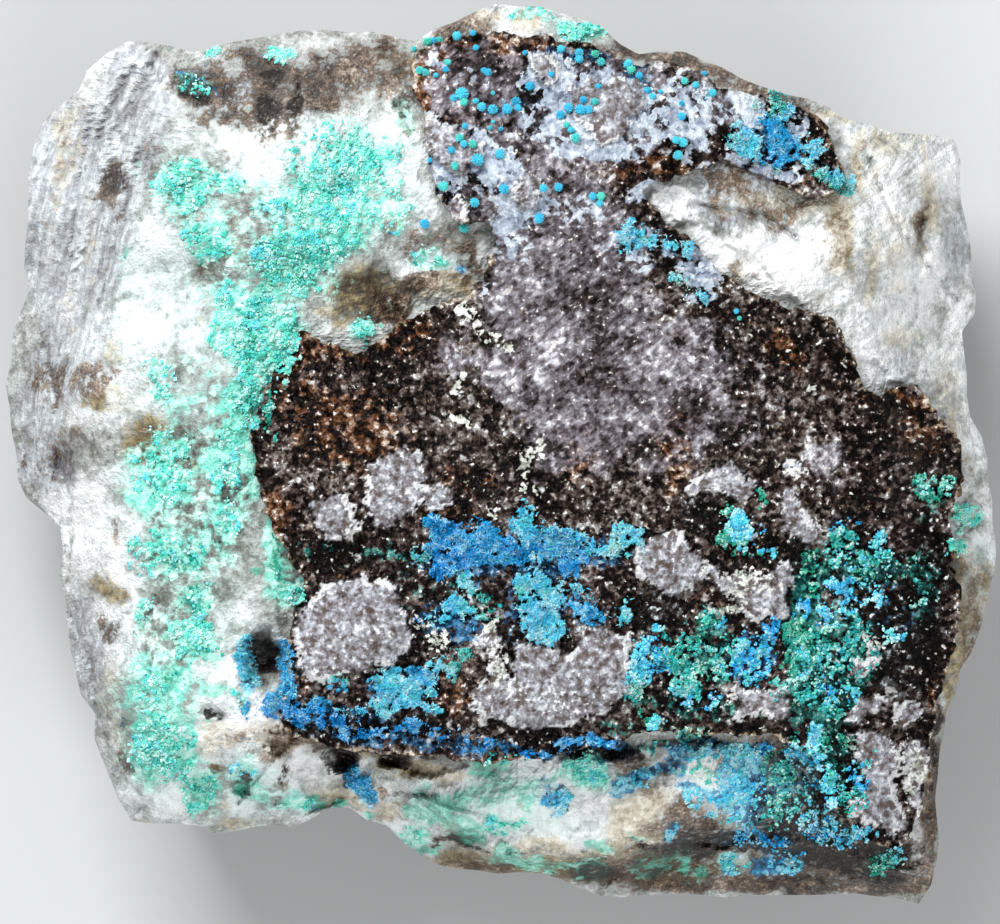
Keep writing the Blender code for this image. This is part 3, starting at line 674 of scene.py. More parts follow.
# %% Outlines of the grey plates
GREY_PLATES = [
    [(370, 465), (380, 458), (400, 452), (415, 450), (426, 457), (423, 468), (428, 478), (420, 484),
     (428, 487), (440, 485), (450, 490), (453, 505), (440, 508), (424, 503), (415, 508), (400, 518),
     (388, 529), (374, 524), (366, 508), (369, 485)],
    [(313, 505), (325, 497), (343, 494), (346, 503), (358, 503), (355, 518), (360, 530), (343, 538),
     (328, 542), (322, 532), (314, 520)],
    [(296, 640), (294, 628), (301, 613), (309, 606), (319, 592), (332, 581), (357, 577), (372, 581),
     (389, 579), (399, 592), (403, 606), (411, 629), (411, 646), (400, 656), (392, 668), (375, 662),
     (365, 672), (350, 668), (340, 676), (324, 681), (307, 678), (300, 665)],
    [(478, 630), (490, 622), (500, 628), (497, 650), (503, 672), (512, 676), (515, 648), (530, 642),
     (548, 645), (560, 650), (572, 655), (578, 640), (590, 630), (598, 622), (608, 634), (625, 637),
     (630, 650), (626, 670), (632, 692), (618, 698), (605, 712), (585, 714), (570, 724), (545, 728),
     (520, 726), (500, 718), (482, 713), (470, 705), (472, 692), (486, 680), (492, 660)],
    [(632, 560), (640, 545), (655, 533), (672, 530), (684, 538), (690, 550), (702, 560), (708, 570),
     (698, 580), (690, 588), (675, 594), (660, 592), (648, 580), (636, 574)],
    [(686, 488), (695, 479), (712, 467), (728, 463), (744, 472), (755, 483), (748, 496), (735, 501),
     (722, 491), (704, 492), (692, 499)],
    [(781, 492), (792, 488), (796, 498), (805, 514), (817, 533), (812, 548), (802, 544), (792, 536),
     (784, 530), (783, 512)],
    [(782, 463), (792, 460), (801, 464), (798, 474), (786, 475)],
    [(700, 566), (712, 563), (722, 576), (745, 572), (760, 580), (775, 566), (787, 560), (793, 580),
     (786, 590), (788, 614), (776, 622), (766, 612), (755, 622), (740, 610), (728, 594), (712, 582)],
    [(720, 706), (728, 712), (740, 706), (734, 692), (737, 682), (746, 690), (760, 688), (785, 690),
     (792, 704), (786, 716), (772, 714), (762, 710), (748, 716), (730, 722)],
    [(846, 668), (858, 658), (862, 664), (876, 652), (882, 660), (872, 670), (860, 678), (850, 674)],
    [(842, 722), (850, 712), (858, 700), (872, 694), (886, 700), (884, 710), (868, 712), (858, 722)],
    [(893, 712), (900, 700), (914, 700), (923, 708), (918, 720), (905, 726), (896, 728)],
    [(850, 736), (860, 730), (878, 730), (892, 742), (898, 752), (900, 770), (893, 780), (897, 800),
     (905, 815), (908, 828), (893, 836), (878, 828), (862, 822), (850, 815), (846, 800), (858, 795),
     (865, 780), (858, 762)],
    [(908, 738), (922, 742), (929, 755), (925, 775), (918, 790), (925, 810), (918, 820), (909, 800),
     (905, 780), (903, 758)],
    [(529, 62), (536, 52), (548, 54), (552, 62), (560, 72), (556, 84), (546, 88), (536, 80)],
    [(570, 92), (590, 80), (606, 84), (624, 78), (640, 84), (644, 100), (632, 118), (626, 134), (610, 146),
     (598, 150), (588, 132), (576, 122), (566, 108)],
    [(419, 128), (432, 118), (444, 126), (462, 130), (470, 142), (484, 146), (486, 158), (474, 166),
     (462, 178), (448, 176), (440, 160), (426, 150)],
    [(515, 184), (524, 174), (538, 176), (544, 190), (536, 208), (522, 212), (514, 200)],
    [(446, 206), (456, 198), (468, 206), (466, 222), (452, 224)],
]

# %% Trim the grid to the torn rim
def crust_sheet():
    """A grid over the crust, without the cells outside its torn rim."""
    bm = bmesh.new()
    bmesh.ops.create_grid(bm, x_segments=crust_columns, y_segments=crust_rows, size=1)
    middle_x, middle_y = (grid_x[0] + grid_x[-1]) / 2, (grid_y[0] + grid_y[-1]) / 2
    scale = (grid_x[-1] - middle_x, grid_y[-1] - middle_y, 1)
    bmesh.ops.scale(bm, vec=scale, verts=bm.verts)
    bmesh.ops.translate(bm, vec=(middle_x, middle_y, 0), verts=bm.verts)
    places = np.array([face.calc_center_median() for face in bm.faces])
    tear = 0.30 * rough(places, 1.7 * MM, 12.0) + 0.16 * rough(places, 0.5 * MM, 15.0, octaves=2)
    kept = sampled(crust_depth, places) + tear * MM > 0
    outside = [face for face, keep in zip(bm.faces, kept) if not keep]
    bmesh.ops.delete(bm, geom=outside, context="FACES")
    return bm


def keep_largest(bm):
    """Drops the crumbs that the tearing cut off."""
    left = set(bm.verts)
    largest = set()
    while left:
        island, edge = set(), [left.pop()]
        while edge:
            vert = edge.pop()
            island.add(vert)
            for link in vert.link_edges:
                other = link.other_vert(vert)
                if other in left:
                    left.discard(other)
                    edge.append(other)
        if len(island) > len(largest):
            largest = island
    bmesh.ops.delete(bm, geom=[vert for vert in bm.verts if vert not in largest], context="VERTS")


def split_pinches(bm):
    """Opens the places where two cells meet only at a corner, so that the rim is one clean loop."""
    pinched = [vert for vert in bm.verts if sum(edge.is_boundary for edge in vert.link_edges) > 2]
    bmesh.ops.delete(bm, geom=pinched, context="VERTS")


def even_rim(bm, passes=2):
    """Moves each rim point towards its two neighbours on the rim, which takes the stair steps off."""
    for _ in range(passes):
        moved = {}
        for vert in bm.verts:
            along = [edge.other_vert(vert) for edge in vert.link_edges if edge.is_boundary]
            if len(along) == 2:
                moved[vert] = vert.co * 0.5 + (along[0].co + along[1].co) * 0.25
        for vert, place in moved.items():
            vert.co = place


crust_bm = crust_sheet()
split_pinches(crust_bm)
keep_largest(crust_bm)
split_pinches(crust_bm)
even_rim(crust_bm)
print("crust sheet", len(crust_bm.verts), "points")

# %% The crust's own height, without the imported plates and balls
LEVEL_BLUR = 40
GROWTH_RISE = 0.4 * MM
FILLING_BLUR = 30


def without_growths(height):
    """Fills the balls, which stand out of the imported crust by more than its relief, from around them."""
    level = blurred(height, LEVEL_BLUR)
    clean = height.copy()
    clean[np.abs(height - level) > GROWTH_RISE] = np.nan
    return blurred(clean, FILLING_BLUR)


crust_level = without_growths(crust_height)

# %% Relief on the crust
# Black hollows: partly black mineral, partly painted shadow in hollows and under the lip's and the plates'
# edges.
BLACK_HOLLOWS = [
    (800, 575, 22, 34, 1), (900, 640, 46, 60, .9), (930, 560, 22, 40, .8), (420, 556, 26, 12, .8),
    (335, 556, 45, 16, .7), (530, 92, 16, 30, .8), (380, 728, 110, 12, .7), (300, 705, 30, 10, .7),
    (520, 745, 60, 10, .6), (920, 470, 30, 50, .4), (640, 62, 16, 9, .9), (600, 45, 40, 7, .8),
    (845, 760, 16, 40, .8), (470, 588, 40, 16, .6), (650, 610, 40, 26, .7), (765, 735, 60, 12, .6),
    (700, 515, 26, 22, .7), (690, 702, 26, 12, .7), (560, 625, 16, 12, .5), (440, 620, 20, 20, .5),
    (290, 540, 12, 30, .5),
]
SILKY_ZONE = [
    (590, 380, 100, 80, .8), (545, 290, 70, 60, .75), (690, 370, 74, 60, .5), (770, 430, 46, 40, .25),
    (620, 250, 70, 40, .55), (830, 480, 30, 60, .4), (600, 470, 110, 40, .25), (460, 350, 40, 34, .5),
    (700, 450, 60, 30, .3), (540, 150, 90, 90, .5), (640, 110, 80, 60, .5), (740, 110, 50, 40, .4),
    (470, 80, 50, 40, .7), (560, 220, 60, 50, .6), (600, 60, 60, 20, .3), (480, 230, 40, 30, .5),
]
SILK_START, SILK_END = placed([(520, 420), (640, 330)])
PLATE_RISE = 0.34
PLATE_EDGE = 0.36 * MM
CRUST_LEVEL = 0.9


def plate_depth_at(flat):
    """How far each flattened point is inside the nearest grey plate's ragged edge; negative outside."""
    ragged = PLATE_EDGE * (rough(flat, 0.8 * MM, 21.0) + 0.6 * rough(flat, 0.3 * MM, 22.0, octaves=2))
    return np.max([depth_inside(flat, outline) for outline in GREY_PLATES], axis=0) + ragged


def plate_cover(plate_depth):
    return smooth_step(-0.06 * MM, 0.08 * MM, plate_depth)


def crust_lumps(flat):
    """The crust's wide swells, its knobs and its crumbs, each from about -1 to 1."""
    return rough(flat, 4.5 * MM, 31.0), rough(flat, 1.1 * MM, 32.0), blocky(flat, 0.75 * MM, seed=8.0)


sheet_points = np.array([vert.co for vert in crust_bm.verts])
flat_sheet = flattened(sheet_points, CRUST_LEVEL)
on_plate = plate_cover(plate_depth_at(flat_sheet))
silky = blotted(sheet_points, SILKY_ZONE)
hollow = blotted(sheet_points, BLACK_HOLLOWS) * (1 - on_plate)
swell, knobs, crumbs = crust_lumps(flat_sheet)
specks = rough(flat_sheet, 0.32 * MM, 33.0, octaves=2)
silk = striated(flat_sheet, SILK_START, SILK_END, 0.45 * MM, 2.2 * MM, 34.0)
crust_relief = 0.20 * swell + 0.13 * knobs * (1 - 0.5 * silky) + 0.05 * specks + 0.07 * crumbs * (1 - silky)
crust_relief += 0.10 * silk * silky - 0.30 * hollow
crust_relief += crystal_cover(sheet_points)[0] * (0.1 + 0.35 * cushions(sheet_points))
crust_relief = crust_relief * (1 - 0.55 * on_plate) + on_plate * (PLATE_RISE + 0.11 * knobs)
top_height = sampled(crust_level, sheet_points) + crust_relief * MM
for vert, height in zip(crust_bm.verts, top_height):
    vert.co.z = height
print("crust relief from", round(crust_relief.min(), 2), "to", round(crust_relief.max(), 2), "mm")

# %% Draw the rim down, in under the lip and into the rock
slope_y, slope_x = np.gradient(crust_depth, grid_y, grid_x)
LIP_RINGS = [(0.10, 0.05), (0.35, 0.06), (0.75, -0.10), (1.0, -0.55), (1.15, -1.2), (2.6, -1.5)]
LIP_THICKNESS = 1.8 * MM


def draw_rim_down(bm):
    """Each ring is a share of the sheet's thickness below the rim, and so many millimetres out."""
    border = [edge for edge in bm.edges if edge.is_boundary]
    start = {}
    for depth_share, out in LIP_RINGS:
        drawn = bmesh.ops.extrude_edge_only(bm, edges=border)["geom"]
        ring = [part for part in drawn if isinstance(part, bmesh.types.BMVert)]
        border = [part for part in drawn if isinstance(part, bmesh.types.BMEdge)]
        places = np.array([vert.co for vert in ring])
        first = np.array([start.get(tuple(vert.co), vert.co) for vert in ring])
        inward = np.column_stack([sampled(slope_x, first), sampled(slope_y, first)])
        inward /= np.maximum(np.hypot(*inward.T), 1e-6)[:, None]
        places[:, :2] = first[:, :2] - inward * out * MM
        places[:, 2] = first[:, 2] - depth_share * LIP_THICKNESS
        for vert, place, origin in zip(ring, places, first):
            vert.co = place
            start[tuple(vert.co)] = origin
    bmesh.ops.edgeloop_fill(bm, edges=border)


draw_rim_down(crust_bm)
bmesh.ops.recalc_face_normals(crust_bm, faces=crust_bm.faces)
crust_mesh = bpy.data.meshes.new("iron_crust_surface")
crust_bm.to_mesh(crust_mesh)
open_edges = sum(edge.is_boundary for edge in crust_bm.edges)
print("iron crust", len(crust_mesh.polygons), "faces,", open_edges, "open edges")
crust_bm.free()
iron_crust_surface = new_piece("iron_crust_surface", crust_mesh)
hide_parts("iron_crust")

# %% [markdown]
# ## Shader maths as Python
# A finish is a network of shader nodes. Written out node by node it hides its sums, so a small class wraps a
# socket and turns + - * into Math nodes. Colours are mixed by Mix nodes, because a Math node would turn them
# grey. The pattern's coordinates are the piece's own, in millimetres, so a noise of size 0.3 is 0.3 mm.

# %% Values and finishes
class Value:
    """A socket of a finish. Arithmetic on it adds Math nodes."""

    def __init__(self, finish, socket):
        self.finish = finish
        self.socket = socket

    def math(self, operation, first, second):
        return self.finish.node("ShaderNodeMath", {"operation": operation}, {0: first, 1: second})

    def __add__(self, other):
        return self.math("ADD", self, other)

    def __radd__(self, other):
        return self.math("ADD", other, self)

    def __sub__(self, other):
        return self.math("SUBTRACT", self, other)

    def __rsub__(self, other):
        return self.math("SUBTRACT", other, self)

    def __mul__(self, other):
        return self.math("MULTIPLY", self, other)

    def __rmul__(self, other):
        return self.math("MULTIPLY", other, self)


def colour(text):
    """A hexadecimal screen colour as the linear colour that shaders use."""
    shares = [int(text[i:i + 2], 16) / 255 for i in (1, 3, 5)]
    return (*[share / 12.92 if share < 0.04045 else ((share + 0.055) / 1.055) ** 2.4 for share in shares], 1)


class Finish:
    """A material with the few kinds of node that these finishes need. A flat piece has 2D patterns."""

    def __init__(self, name, dimensions="3D"):
        self.dimensions = dimensions
        self.material = bpy.data.materials.new(name)
        self.material.use_nodes = True
        self.tree = self.material.node_tree
        self.surface = self.tree.nodes["Principled BSDF"]
        self.place = self.node("ShaderNodeTexCoord", output="Object")
        scale = (1 / MM, 1 / MM, 0.8 / MM)
        self.place = self.node("ShaderNodeVectorMath", {"operation": "MULTIPLY"}, {0: self.place, 1: scale})

    def node(self, kind, settings=None, inputs=None, output=0, stops=None):
        made = self.tree.nodes.new(kind)
        for name, setting in (settings or {}).items():
            setattr(made, name, setting)
        if stops:
            while len(made.color_ramp.elements) < len(stops):
                made.color_ramp.elements.new(1)
            for element, (position, text) in zip(made.color_ramp.elements, stops):
                element.position = position
                element.color = colour(text)
        for name, given in (inputs or {}).items():
            if isinstance(given, Value):
                self.tree.links.new(given.socket, made.inputs[name])
            else:
                made.inputs[name].default_value = given
        return Value(self, made.outputs[output])

    def noise(self, size, detail=3, seed=0.0, place=None):
        """Noise from about -1 to 1, with lumps about `size` millimetres across."""
        inputs = {0: place or self.place, 1: (seed, 2 * seed, 3 * seed)}
        moved = self.node("ShaderNodeVectorMath", {"operation": "ADD"}, inputs)
        inputs = {"Vector": moved, "Scale": 1 / size, "Detail": detail, "Roughness": 0.6}
        return (self.node("ShaderNodeTexNoise", {"noise_dimensions": self.dimensions}, inputs) - 0.5) * 3.2

    def grains(self, size, seed=0.0, warp=0.6):
        """A mosaic of grains about `size` millimetres across: a random number from -1 to 1 for each."""
        inputs = {"Vector": self.place, "Scale": 1.3 / size, "Detail": 1}
        shift = self.node("ShaderNodeTexNoise", {"noise_dimensions": self.dimensions}, inputs)
        inputs = {0: shift, 1: (warp * size,) * 3, 2: self.place}
        warped = self.node("ShaderNodeVectorMath", {"operation": "MULTIPLY_ADD"}, inputs)
        moved = self.node("ShaderNodeVectorMath", {"operation": "ADD"}, {0: warped, 1: (seed, seed, seed)})
        inputs = {"Vector": moved, "Scale": 1 / size}
        each = self.node("ShaderNodeTexVoronoi", {"voronoi_dimensions": self.dimensions}, inputs, "Color")
        return self.node("ShaderNodeSeparateColor", inputs={0: each}) * 2 - 1

    def drawn_out(self, angle, across, along):
        """Coordinates in which a pattern is stretched along a line in the XY plane."""
        inputs = {"Vector": self.place, "Rotation": (0, 0, -angle)}
        turned = self.node("ShaderNodeMapping", {"vector_type": "POINT"}, inputs)
        shrink = (1 / along, 1 / across, 1 / across)
        return self.node("ShaderNodeVectorMath", {"operation": "MULTIPLY"}, {0: turned, 1: shrink})

    def painted(self, name):
        """The numbers painted on the mesh under a name."""
        return self.node("ShaderNodeAttribute", {"attribute_name": name}, output="Fac")

    def step(self, low, high, value):
        inputs = {"Value": value, "From Min": low, "From Max": high}
        return self.node("ShaderNodeMapRange", {"interpolation_type": "SMOOTHSTEP"}, inputs)

    def ramp(self, value, *stops):
        """Colours along a value from -1 to 1."""
        moved = [((position + 1) / 2, text) for position, text in stops]
        return self.node("ShaderNodeValToRGB", inputs={"Fac": value * 0.5 + 0.5}, stops=moved)

    def patches(self, cover, *breaks, soft=0.12):
        """Where a painted cover shows, from 0 to 1, once the breaks have torn its edges."""
        return self.step(0.5 - soft, 0.5 + soft, sum(breaks, cover))

    def mix(self, share, first, second, blend="MIX"):
        settings = {"data_type": "RGBA", "blend_type": blend}
        first, second = [colour(part) if isinstance(part, str) else part for part in (first, second)]
        return self.node("ShaderNodeMix", settings, {0: share, 6: first, 7: second}, output=2)

    def layer(self, base, share, tone, *stops):
        """The base with a ramp of colours over a share of it."""
        return self.mix(share, base, self.ramp(tone, *stops))

    def velvet(self, tone):
        """The crystals' colours by their painted hue. Tone is painted light: 0 paints deep shade, 1 lit tips.
        """
        hue = self.painted("hue") * 2 - 1
        shade = self.ramp(
            hue, (-1, "#0A94E8"), (-0.6, "#20B2F4"), (-0.2, "#5ADCFC"), (0.2, "#66ECD2"), (0.6, "#2EBABE"),
            (1, "#22A688"),
        )
        # Painted shade darkens a low tone towards blue-black, and a painted highlight lightens a high tone.
        deep = self.mix(1.0, shade, "#12242E", "MULTIPLY")
        base = self.mix(self.step(0.0, 0.5, tone), deep, shade)
        tips = ((-1, "#A8E4FF"), (-0.2, "#C6F8FF"), (0.2, "#EAFFF8"), (1, "#B4F0DE"))
        return self.layer(base, self.step(0.65, 1.2, tone) * 0.85, hue, *tips)

    def bump(self, height, distance):
        """A relief too fine for the mesh: its height from -1 to 1 stands for so many millimetres."""
        inputs = {"Height": height, "Distance": distance * MM, "Strength": 1}
        return self.node("ShaderNodeBump", inputs=inputs)

    def finish(self, base, roughness, normal=None, specular=0.5):
        for name, given in (("Base Color", base), ("Roughness", roughness), ("Normal", normal)):
            if isinstance(given, Value):
                self.tree.links.new(given.socket, self.surface.inputs[name])
            elif given is not None:
                self.surface.inputs[name].default_value = given
        self.surface.inputs["Specular IOR Level"].default_value = specular
        return self.material


# %% [markdown]
# ## The quartz's colours
# The quartz itself is white where it is fractured through and grey where it is clear. Copper minerals stain
# it turquoise in grains and clouds, iron stains it olive and brown, and a silver-lilac film covers the
# striated side. Each stain is painted as soft blots and broken up by noise, so its edge is as grainy as the
# real one. The dark blots are partly black minerals and partly painted shadow under the crust's lip, under
# the lower ledges and in the pits, and every layer is painted lighter on raised relief and darker in hollows.
# The back and the sides below the rim are bare.

# %% Where each stain and painted shadow is on the rock
ROCK_STAINS_AND_SHADE = {
    "turquoise": TURQUOISE_CLUMPS + [
        (350, 180, 74, 70, .51), (180, 400, 28, 15, .5), (195, 80, 16, 16, .5), (985, 560, 8, 22, .5),
        (280, 560, 14, 60, .5), (130, 300, 20, 60, .3), (410, 110, 14, 30, .4), (300, 800, 14, 9, .8),
        (410, 836, 20, 10, .7), (445, 808, 26, 16, .45), (500, 826, 26, 6, .7), (520, 790, 20, 20, .35),
        (586, 768, 20, 16, .9), (560, 780, 14, 8, .5), (590, 790, 14, 8, .5), (640, 838, 10, 6, .4),
        (700, 785, 20, 10, .5), (735, 865, 20, 12, .6), (245, 765, 16, 24, .5), (255, 790, 14, 10, .5),
        (475, 765, 14, 10, .4), (520, 800, 40, 30, .45), (300, 800, 24, 14, .5), (410, 836, 30, 14, .5),
        (560, 830, 40, 12, .35), (260, 780, 24, 24, .45), (225, 300, 100, 170, .46), (235, 790, 50, 34, .42),
        (255, 470, 10, 22, .8), (275, 555, 10, 32, .7), (300, 588, 22, 18, .9), (430, 262, 28, 10, .6),
        (520, 790, 50, 34, .35), (205, 500, 74, 70, .5), (190, 620, 60, 80, .46), (160, 740, 50, 60, .5),
        (145, 480, 30, 30, .5), (240, 440, 30, 40, .5), (150, 690, 40, 40, .45), (582, 30, 28, 12, .9),
        (560, 22, 14, 8, .6), (590, 770, 20, 16, .8), (475, 800, 22, 26, .5),
    ],
    "green": [
        (190, 610, 14, 12, .5), (200, 720, 18, 12, .5), (150, 770, 14, 12, .5), (262, 290, 20, 16, .5),
        (320, 282, 30, 20, .5), (250, 420, 10, 30, .5), (290, 570, 12, 20, .5), (212, 662, 10, 12, .5),
        (185, 555, 24, 10, .4), (265, 345, 16, 16, .5), (430, 236, 16, 8, .4), (952, 470, 10, 8, .5),
        (190, 790, 20, 14, .5), (466, 830, 18, 12, 1), (480, 836, 8, 6, .95), (490, 765, 26, 18, .75),
        (500, 752, 31, 10, .95), (418, 809, 8, 5, 1), (431, 818, 9, 6, 1), (432, 848, 16, 5, 1),
        (368, 812, 6, 5, 1), (343, 806, 8, 4, .95), (325, 806, 6, 4, .95), (312, 800, 12, 9, .65),
        (241, 787, 6, 6, 1), (508, 853, 23, 12, 1), (530, 866, 26, 6, .75), (515, 805, 6, 10, .75),
        (600, 842, 18, 8, .85), (585, 838, 13, 5, .75), (610, 850, 10, 6, .75), (690, 858, 6, 18, .85),
        (708, 870, 10, 10, .85), (665, 860, 26, 13, .65), (590, 872, 18, 16, .75), (640, 870, 26, 8, .55),
        (580, 765, 10, 8, .65), (560, 868, 21, 8, .55), (880, 864, 12, 8, .95), (440, 808, 34, 20, .85),
        (219, 455, 12, 14, .8), (183, 562, 22, 14, .85), (226, 428, 8, 10, .8), (256, 573, 10, 7, .8),
        (193, 599, 11, 12, .8), (198, 650, 19, 12, .85), (182, 676, 15, 12, .8), (210, 692, 12, 8, .8),
        (180, 710, 8, 8, .75), (201, 788, 13, 12, .8), (216, 808, 6, 7, .7), (318, 802, 11, 8, .8),
        (175, 743, 10, 11, .7), (155, 496, 7, 8, .7), (274, 555, 9, 30, .65), (253, 467, 9, 18, .55),
        (300, 250, 24, 16, .7), (340, 262, 16, 10, .6), (262, 300, 14, 14, .6), (255, 350, 12, 24, .6),
        (240, 390, 12, 20, .6), (360, 332, 8, 12, .5), (140, 770, 18, 14, .4), (230, 500, 20, 20, .4),
    ],
    "white": [
        (145, 280, 30, 60, .65), (270, 150, 50, 30, .8), (215, 130, 40, 25, .6), (390, 140, 34, 40, .8),
        (140, 340, 25, 30, .55), (115, 400, 40, 30, .7), (190, 350, 30, 60, .35), (85, 510, 30, 40, .8),
        (110, 560, 40, 40, .6), (230, 600, 30, 40, .5), (110, 640, 30, 40, .7), (250, 720, 34, 20, .9),
        (748, 256, 56, 20, 1), (676, 204, 34, 12, 1), (650, 200, 40, 12, .9), (790, 285, 46, 22, 1),
        (885, 190, 18, 30, .6), (945, 160, 22, 26, 1), (885, 345, 42, 50, .3), (925, 270, 20, 26, .7),
        (800, 250, 40, 24, .9), (882, 240, 8, 50, .6), (100, 60, 40, 14, .7), (440, 28, 20, 6, .8),
        (990, 560, 10, 60, .7), (975, 420, 14, 60, .5), (320, 130, 50, 30, .5), (175, 800, 30, 14, .7),
        (330, 335, 12, 20, .5), (715, 250, 26, 20, 1), (525, 785, 24, 22, 1), (545, 775, 12, 16, .9),
        (495, 795, 10, 16, .7), (590, 808, 16, 18, .8), (608, 800, 10, 14, .8), (555, 805, 10, 14, .6),
        (702, 778, 19, 12, 1), (700, 768, 12, 10, .8), (740, 800, 14, 10, .5), (700, 815, 16, 6, .5),
        (530, 838, 40, 8, .8), (490, 842, 20, 6, .6), (600, 830, 30, 7, .8), (640, 800, 10, 8, .5),
        (255, 775, 14, 16, .7), (240, 800, 16, 16, .9), (280, 775, 16, 8, .6), (265, 760, 14, 6, .6),
        (300, 812, 16, 10, .6), (410, 828, 18, 8, .8), (390, 822, 14, 6, .6), (395, 795, 24, 5, .5),
        (340, 778, 10, 4, .6), (430, 788, 18, 4, .6), (455, 776, 14, 5, .5), (352, 815, 10, 8, .5),
        (245, 738, 14, 20, .9), (480, 868, 30, 5, .5), (715, 868, 10, 8, .6), (520, 778, 36, 26, .8),
        (470, 790, 30, 14, .6), (690, 770, 30, 18, .7), (560, 812, 30, 16, .6), (418, 262, 30, 12, 1),
        (480, 252, 12, 8, .9), (335, 262, 14, 10, .6), (243, 604, 14, 12, .9), (219, 669, 20, 14, .9),
        (220, 730, 28, 32, .7), (180, 780, 26, 22, .7), (133, 476, 22, 12, .8), (150, 700, 16, 20, .4),
        (120, 800, 16, 16, .5), (395, 200, 30, 30, .5), (525, 790, 44, 30, .6), (150, 330, 26, 26, .5),
        (505, 800, 40, 34, .8), (545, 775, 30, 20, .7), (270, 500, 10, 10, .5), (210, 350, 20, 24, .5),
        (170, 250, 26, 20, .6), (385, 165, 16, 30, .7), (880, 330, 60, 60, .4), (915, 250, 30, 60, .5),
        (950, 170, 20, 40, .6), (85, 100, 26, 24, .5), (95, 250, 20, 20, .4), (720, 160, 22, 16, .5),
        (960, 330, 16, 60, .5), (512, 18, 14, 16, .9), (506, 780, 34, 34, 1), (535, 800, 34, 26, .9),
        (703, 778, 24, 18, 1), (475, 800, 20, 24, .7), (590, 815, 24, 16, .7), (560, 835, 50, 10, .6),
        (300, 780, 30, 26, .6), (510, 790, 44, 40, .8), (545, 822, 36, 12, .7), (670, 762, 12, 8, .6),
    ],
    "tan": [
        (270, 728, 40, 10, .6), (900, 250, 20, 50, .5), (838, 236, 14, 42, .95), (935, 205, 12, 36, .9),
        (790, 205, 40, 20, .7), (740, 200, 30, 16, .6), (737, 274, 12, 12, .7), (872, 270, 7, 40, .8),
        (857, 170, 6, 34, .8), (930, 160, 6, 24, .7), (905, 340, 22, 16, .6), (950, 400, 20, 60, .5),
        (880, 140, 40, 10, .5), (640, 45, 16, 8, .6), (490, 18, 20, 12, .7), (970, 600, 12, 60, .7),
        (110, 700, 12, 60, .5), (120, 400, 20, 14, .6), (210, 740, 30, 14, .4), (920, 885, 20, 14, .6),
        (60, 120, 16, 60, .4), (230, 240, 20, 24, .5), (720, 735, 30, 6, .4), (930, 130, 30, 6, .6),
        (632, 826, 23, 22, 1), (622, 812, 13, 16, .85), (646, 836, 18, 10, .95), (652, 795, 21, 21, .85),
        (345, 738, 50, 4, .9), (395, 748, 18, 6, .75), (300, 745, 39, 13, .65), (340, 790, 31, 13, .65),
        (270, 736, 21, 8, .85), (430, 775, 34, 10, .75), (410, 765, 26, 8, .65), (470, 862, 50, 7, .8),
        (520, 845, 52, 6, .95), (560, 855, 39, 10, .65), (455, 868, 39, 5, .75), (390, 812, 26, 8, .75),
        (450, 825, 13, 5, .75), (610, 845, 26, 6, .65), (480, 855, 26, 8, .65), (700, 888, 80, 6, .6),
        (228, 805, 5, 10, .8), (235, 825, 21, 6, .85), (365, 795, 13, 13, .65), (355, 290, 30, 26, .7),
        (446, 290, 30, 18, .8), (323, 314, 10, 10, .8), (112, 588, 12, 14, .8), (150, 445, 30, 30, .7),
        (118, 350, 16, 18, .7), (100, 388, 14, 18, .6), (220, 730, 26, 26, .45), (140, 822, 24, 7, .7),
        (308, 728, 24, 5, .9), (396, 219, 16, 12, .7), (203, 325, 6, 12, .6), (345, 78, 34, 20, .4),
        (430, 120, 18, 40, .5), (150, 640, 20, 40, .3), (58, 170, 7, 60, .6), (80, 130, 7, 40, .55),
        (92, 250, 6, 60, .55), (45, 230, 6, 50, .4), (70, 300, 8, 40, .5), (135, 90, 8, 30, .4),
        (735, 170, 26, 24, .6), (880, 170, 14, 40, .4), (528, 24, 12, 14, .8), (480, 12, 24, 8, .6),
        (700, 66, 60, 8, .5), (830, 118, 30, 8, .7), (630, 820, 26, 26, .6), (470, 872, 70, 7, .7),
        (925, 890, 20, 8, .8), (936, 740, 5, 100, .6),
    ],
    "olive": [
        (100, 400, 14, 12, .7), (78, 365, 15, 14, .7), (100, 590, 24, 12, .8), (130, 740, 14, 35, .7),
        (218, 770, 10, 8, .6), (240, 105, 50, 26, .4), (400, 55, 40, 20, .6), (500, 18, 40, 12, .5),
        (340, 735, 70, 6, .6), (925, 222, 11, 26, .85), (832, 225, 10, 24, .7), (848, 262, 9, 22, .7),
        (857, 190, 4, 24, .6), (815, 300, 30, 6, .5), (985, 590, 8, 40, .8), (965, 640, 10, 40, .9),
        (952, 700, 8, 50, .9), (950, 430, 16, 20, .5), (955, 570, 16, 16, .8), (938, 800, 6, 60, .8),
        (225, 690, 30, 10, .4), (372, 750, 21, 8, 1), (345, 737, 52, 4, .75), (392, 762, 16, 13, .75),
        (370, 775, 13, 8, .55), (330, 800, 18, 8, .55), (383, 795, 6, 8, .85), (515, 798, 8, 16, .95),
        (523, 810, 6, 6, .85), (455, 842, 21, 6, .85), (610, 872, 52, 10, .85), (640, 862, 52, 18, .85),
        (570, 870, 34, 10, .65), (685, 806, 21, 10, .85), (720, 756, 10, 10, .65), (280, 748, 26, 8, .55),
        (410, 780, 18, 6, .65), (800, 882, 60, 8, .6), (290, 736, 26, 6, .75), (660, 850, 39, 8, .75),
        (360, 296, 24, 26, .8), (392, 300, 30, 26, .75), (446, 290, 26, 16, .6), (340, 322, 12, 12, .7),
        (396, 219, 14, 12, .6), (155, 450, 24, 26, .8), (190, 470, 16, 8, .75), (215, 767, 10, 8, .8),
        (113, 592, 14, 14, .6), (148, 432, 26, 22, .6), (118, 354, 14, 16, .6), (98, 390, 12, 16, .6),
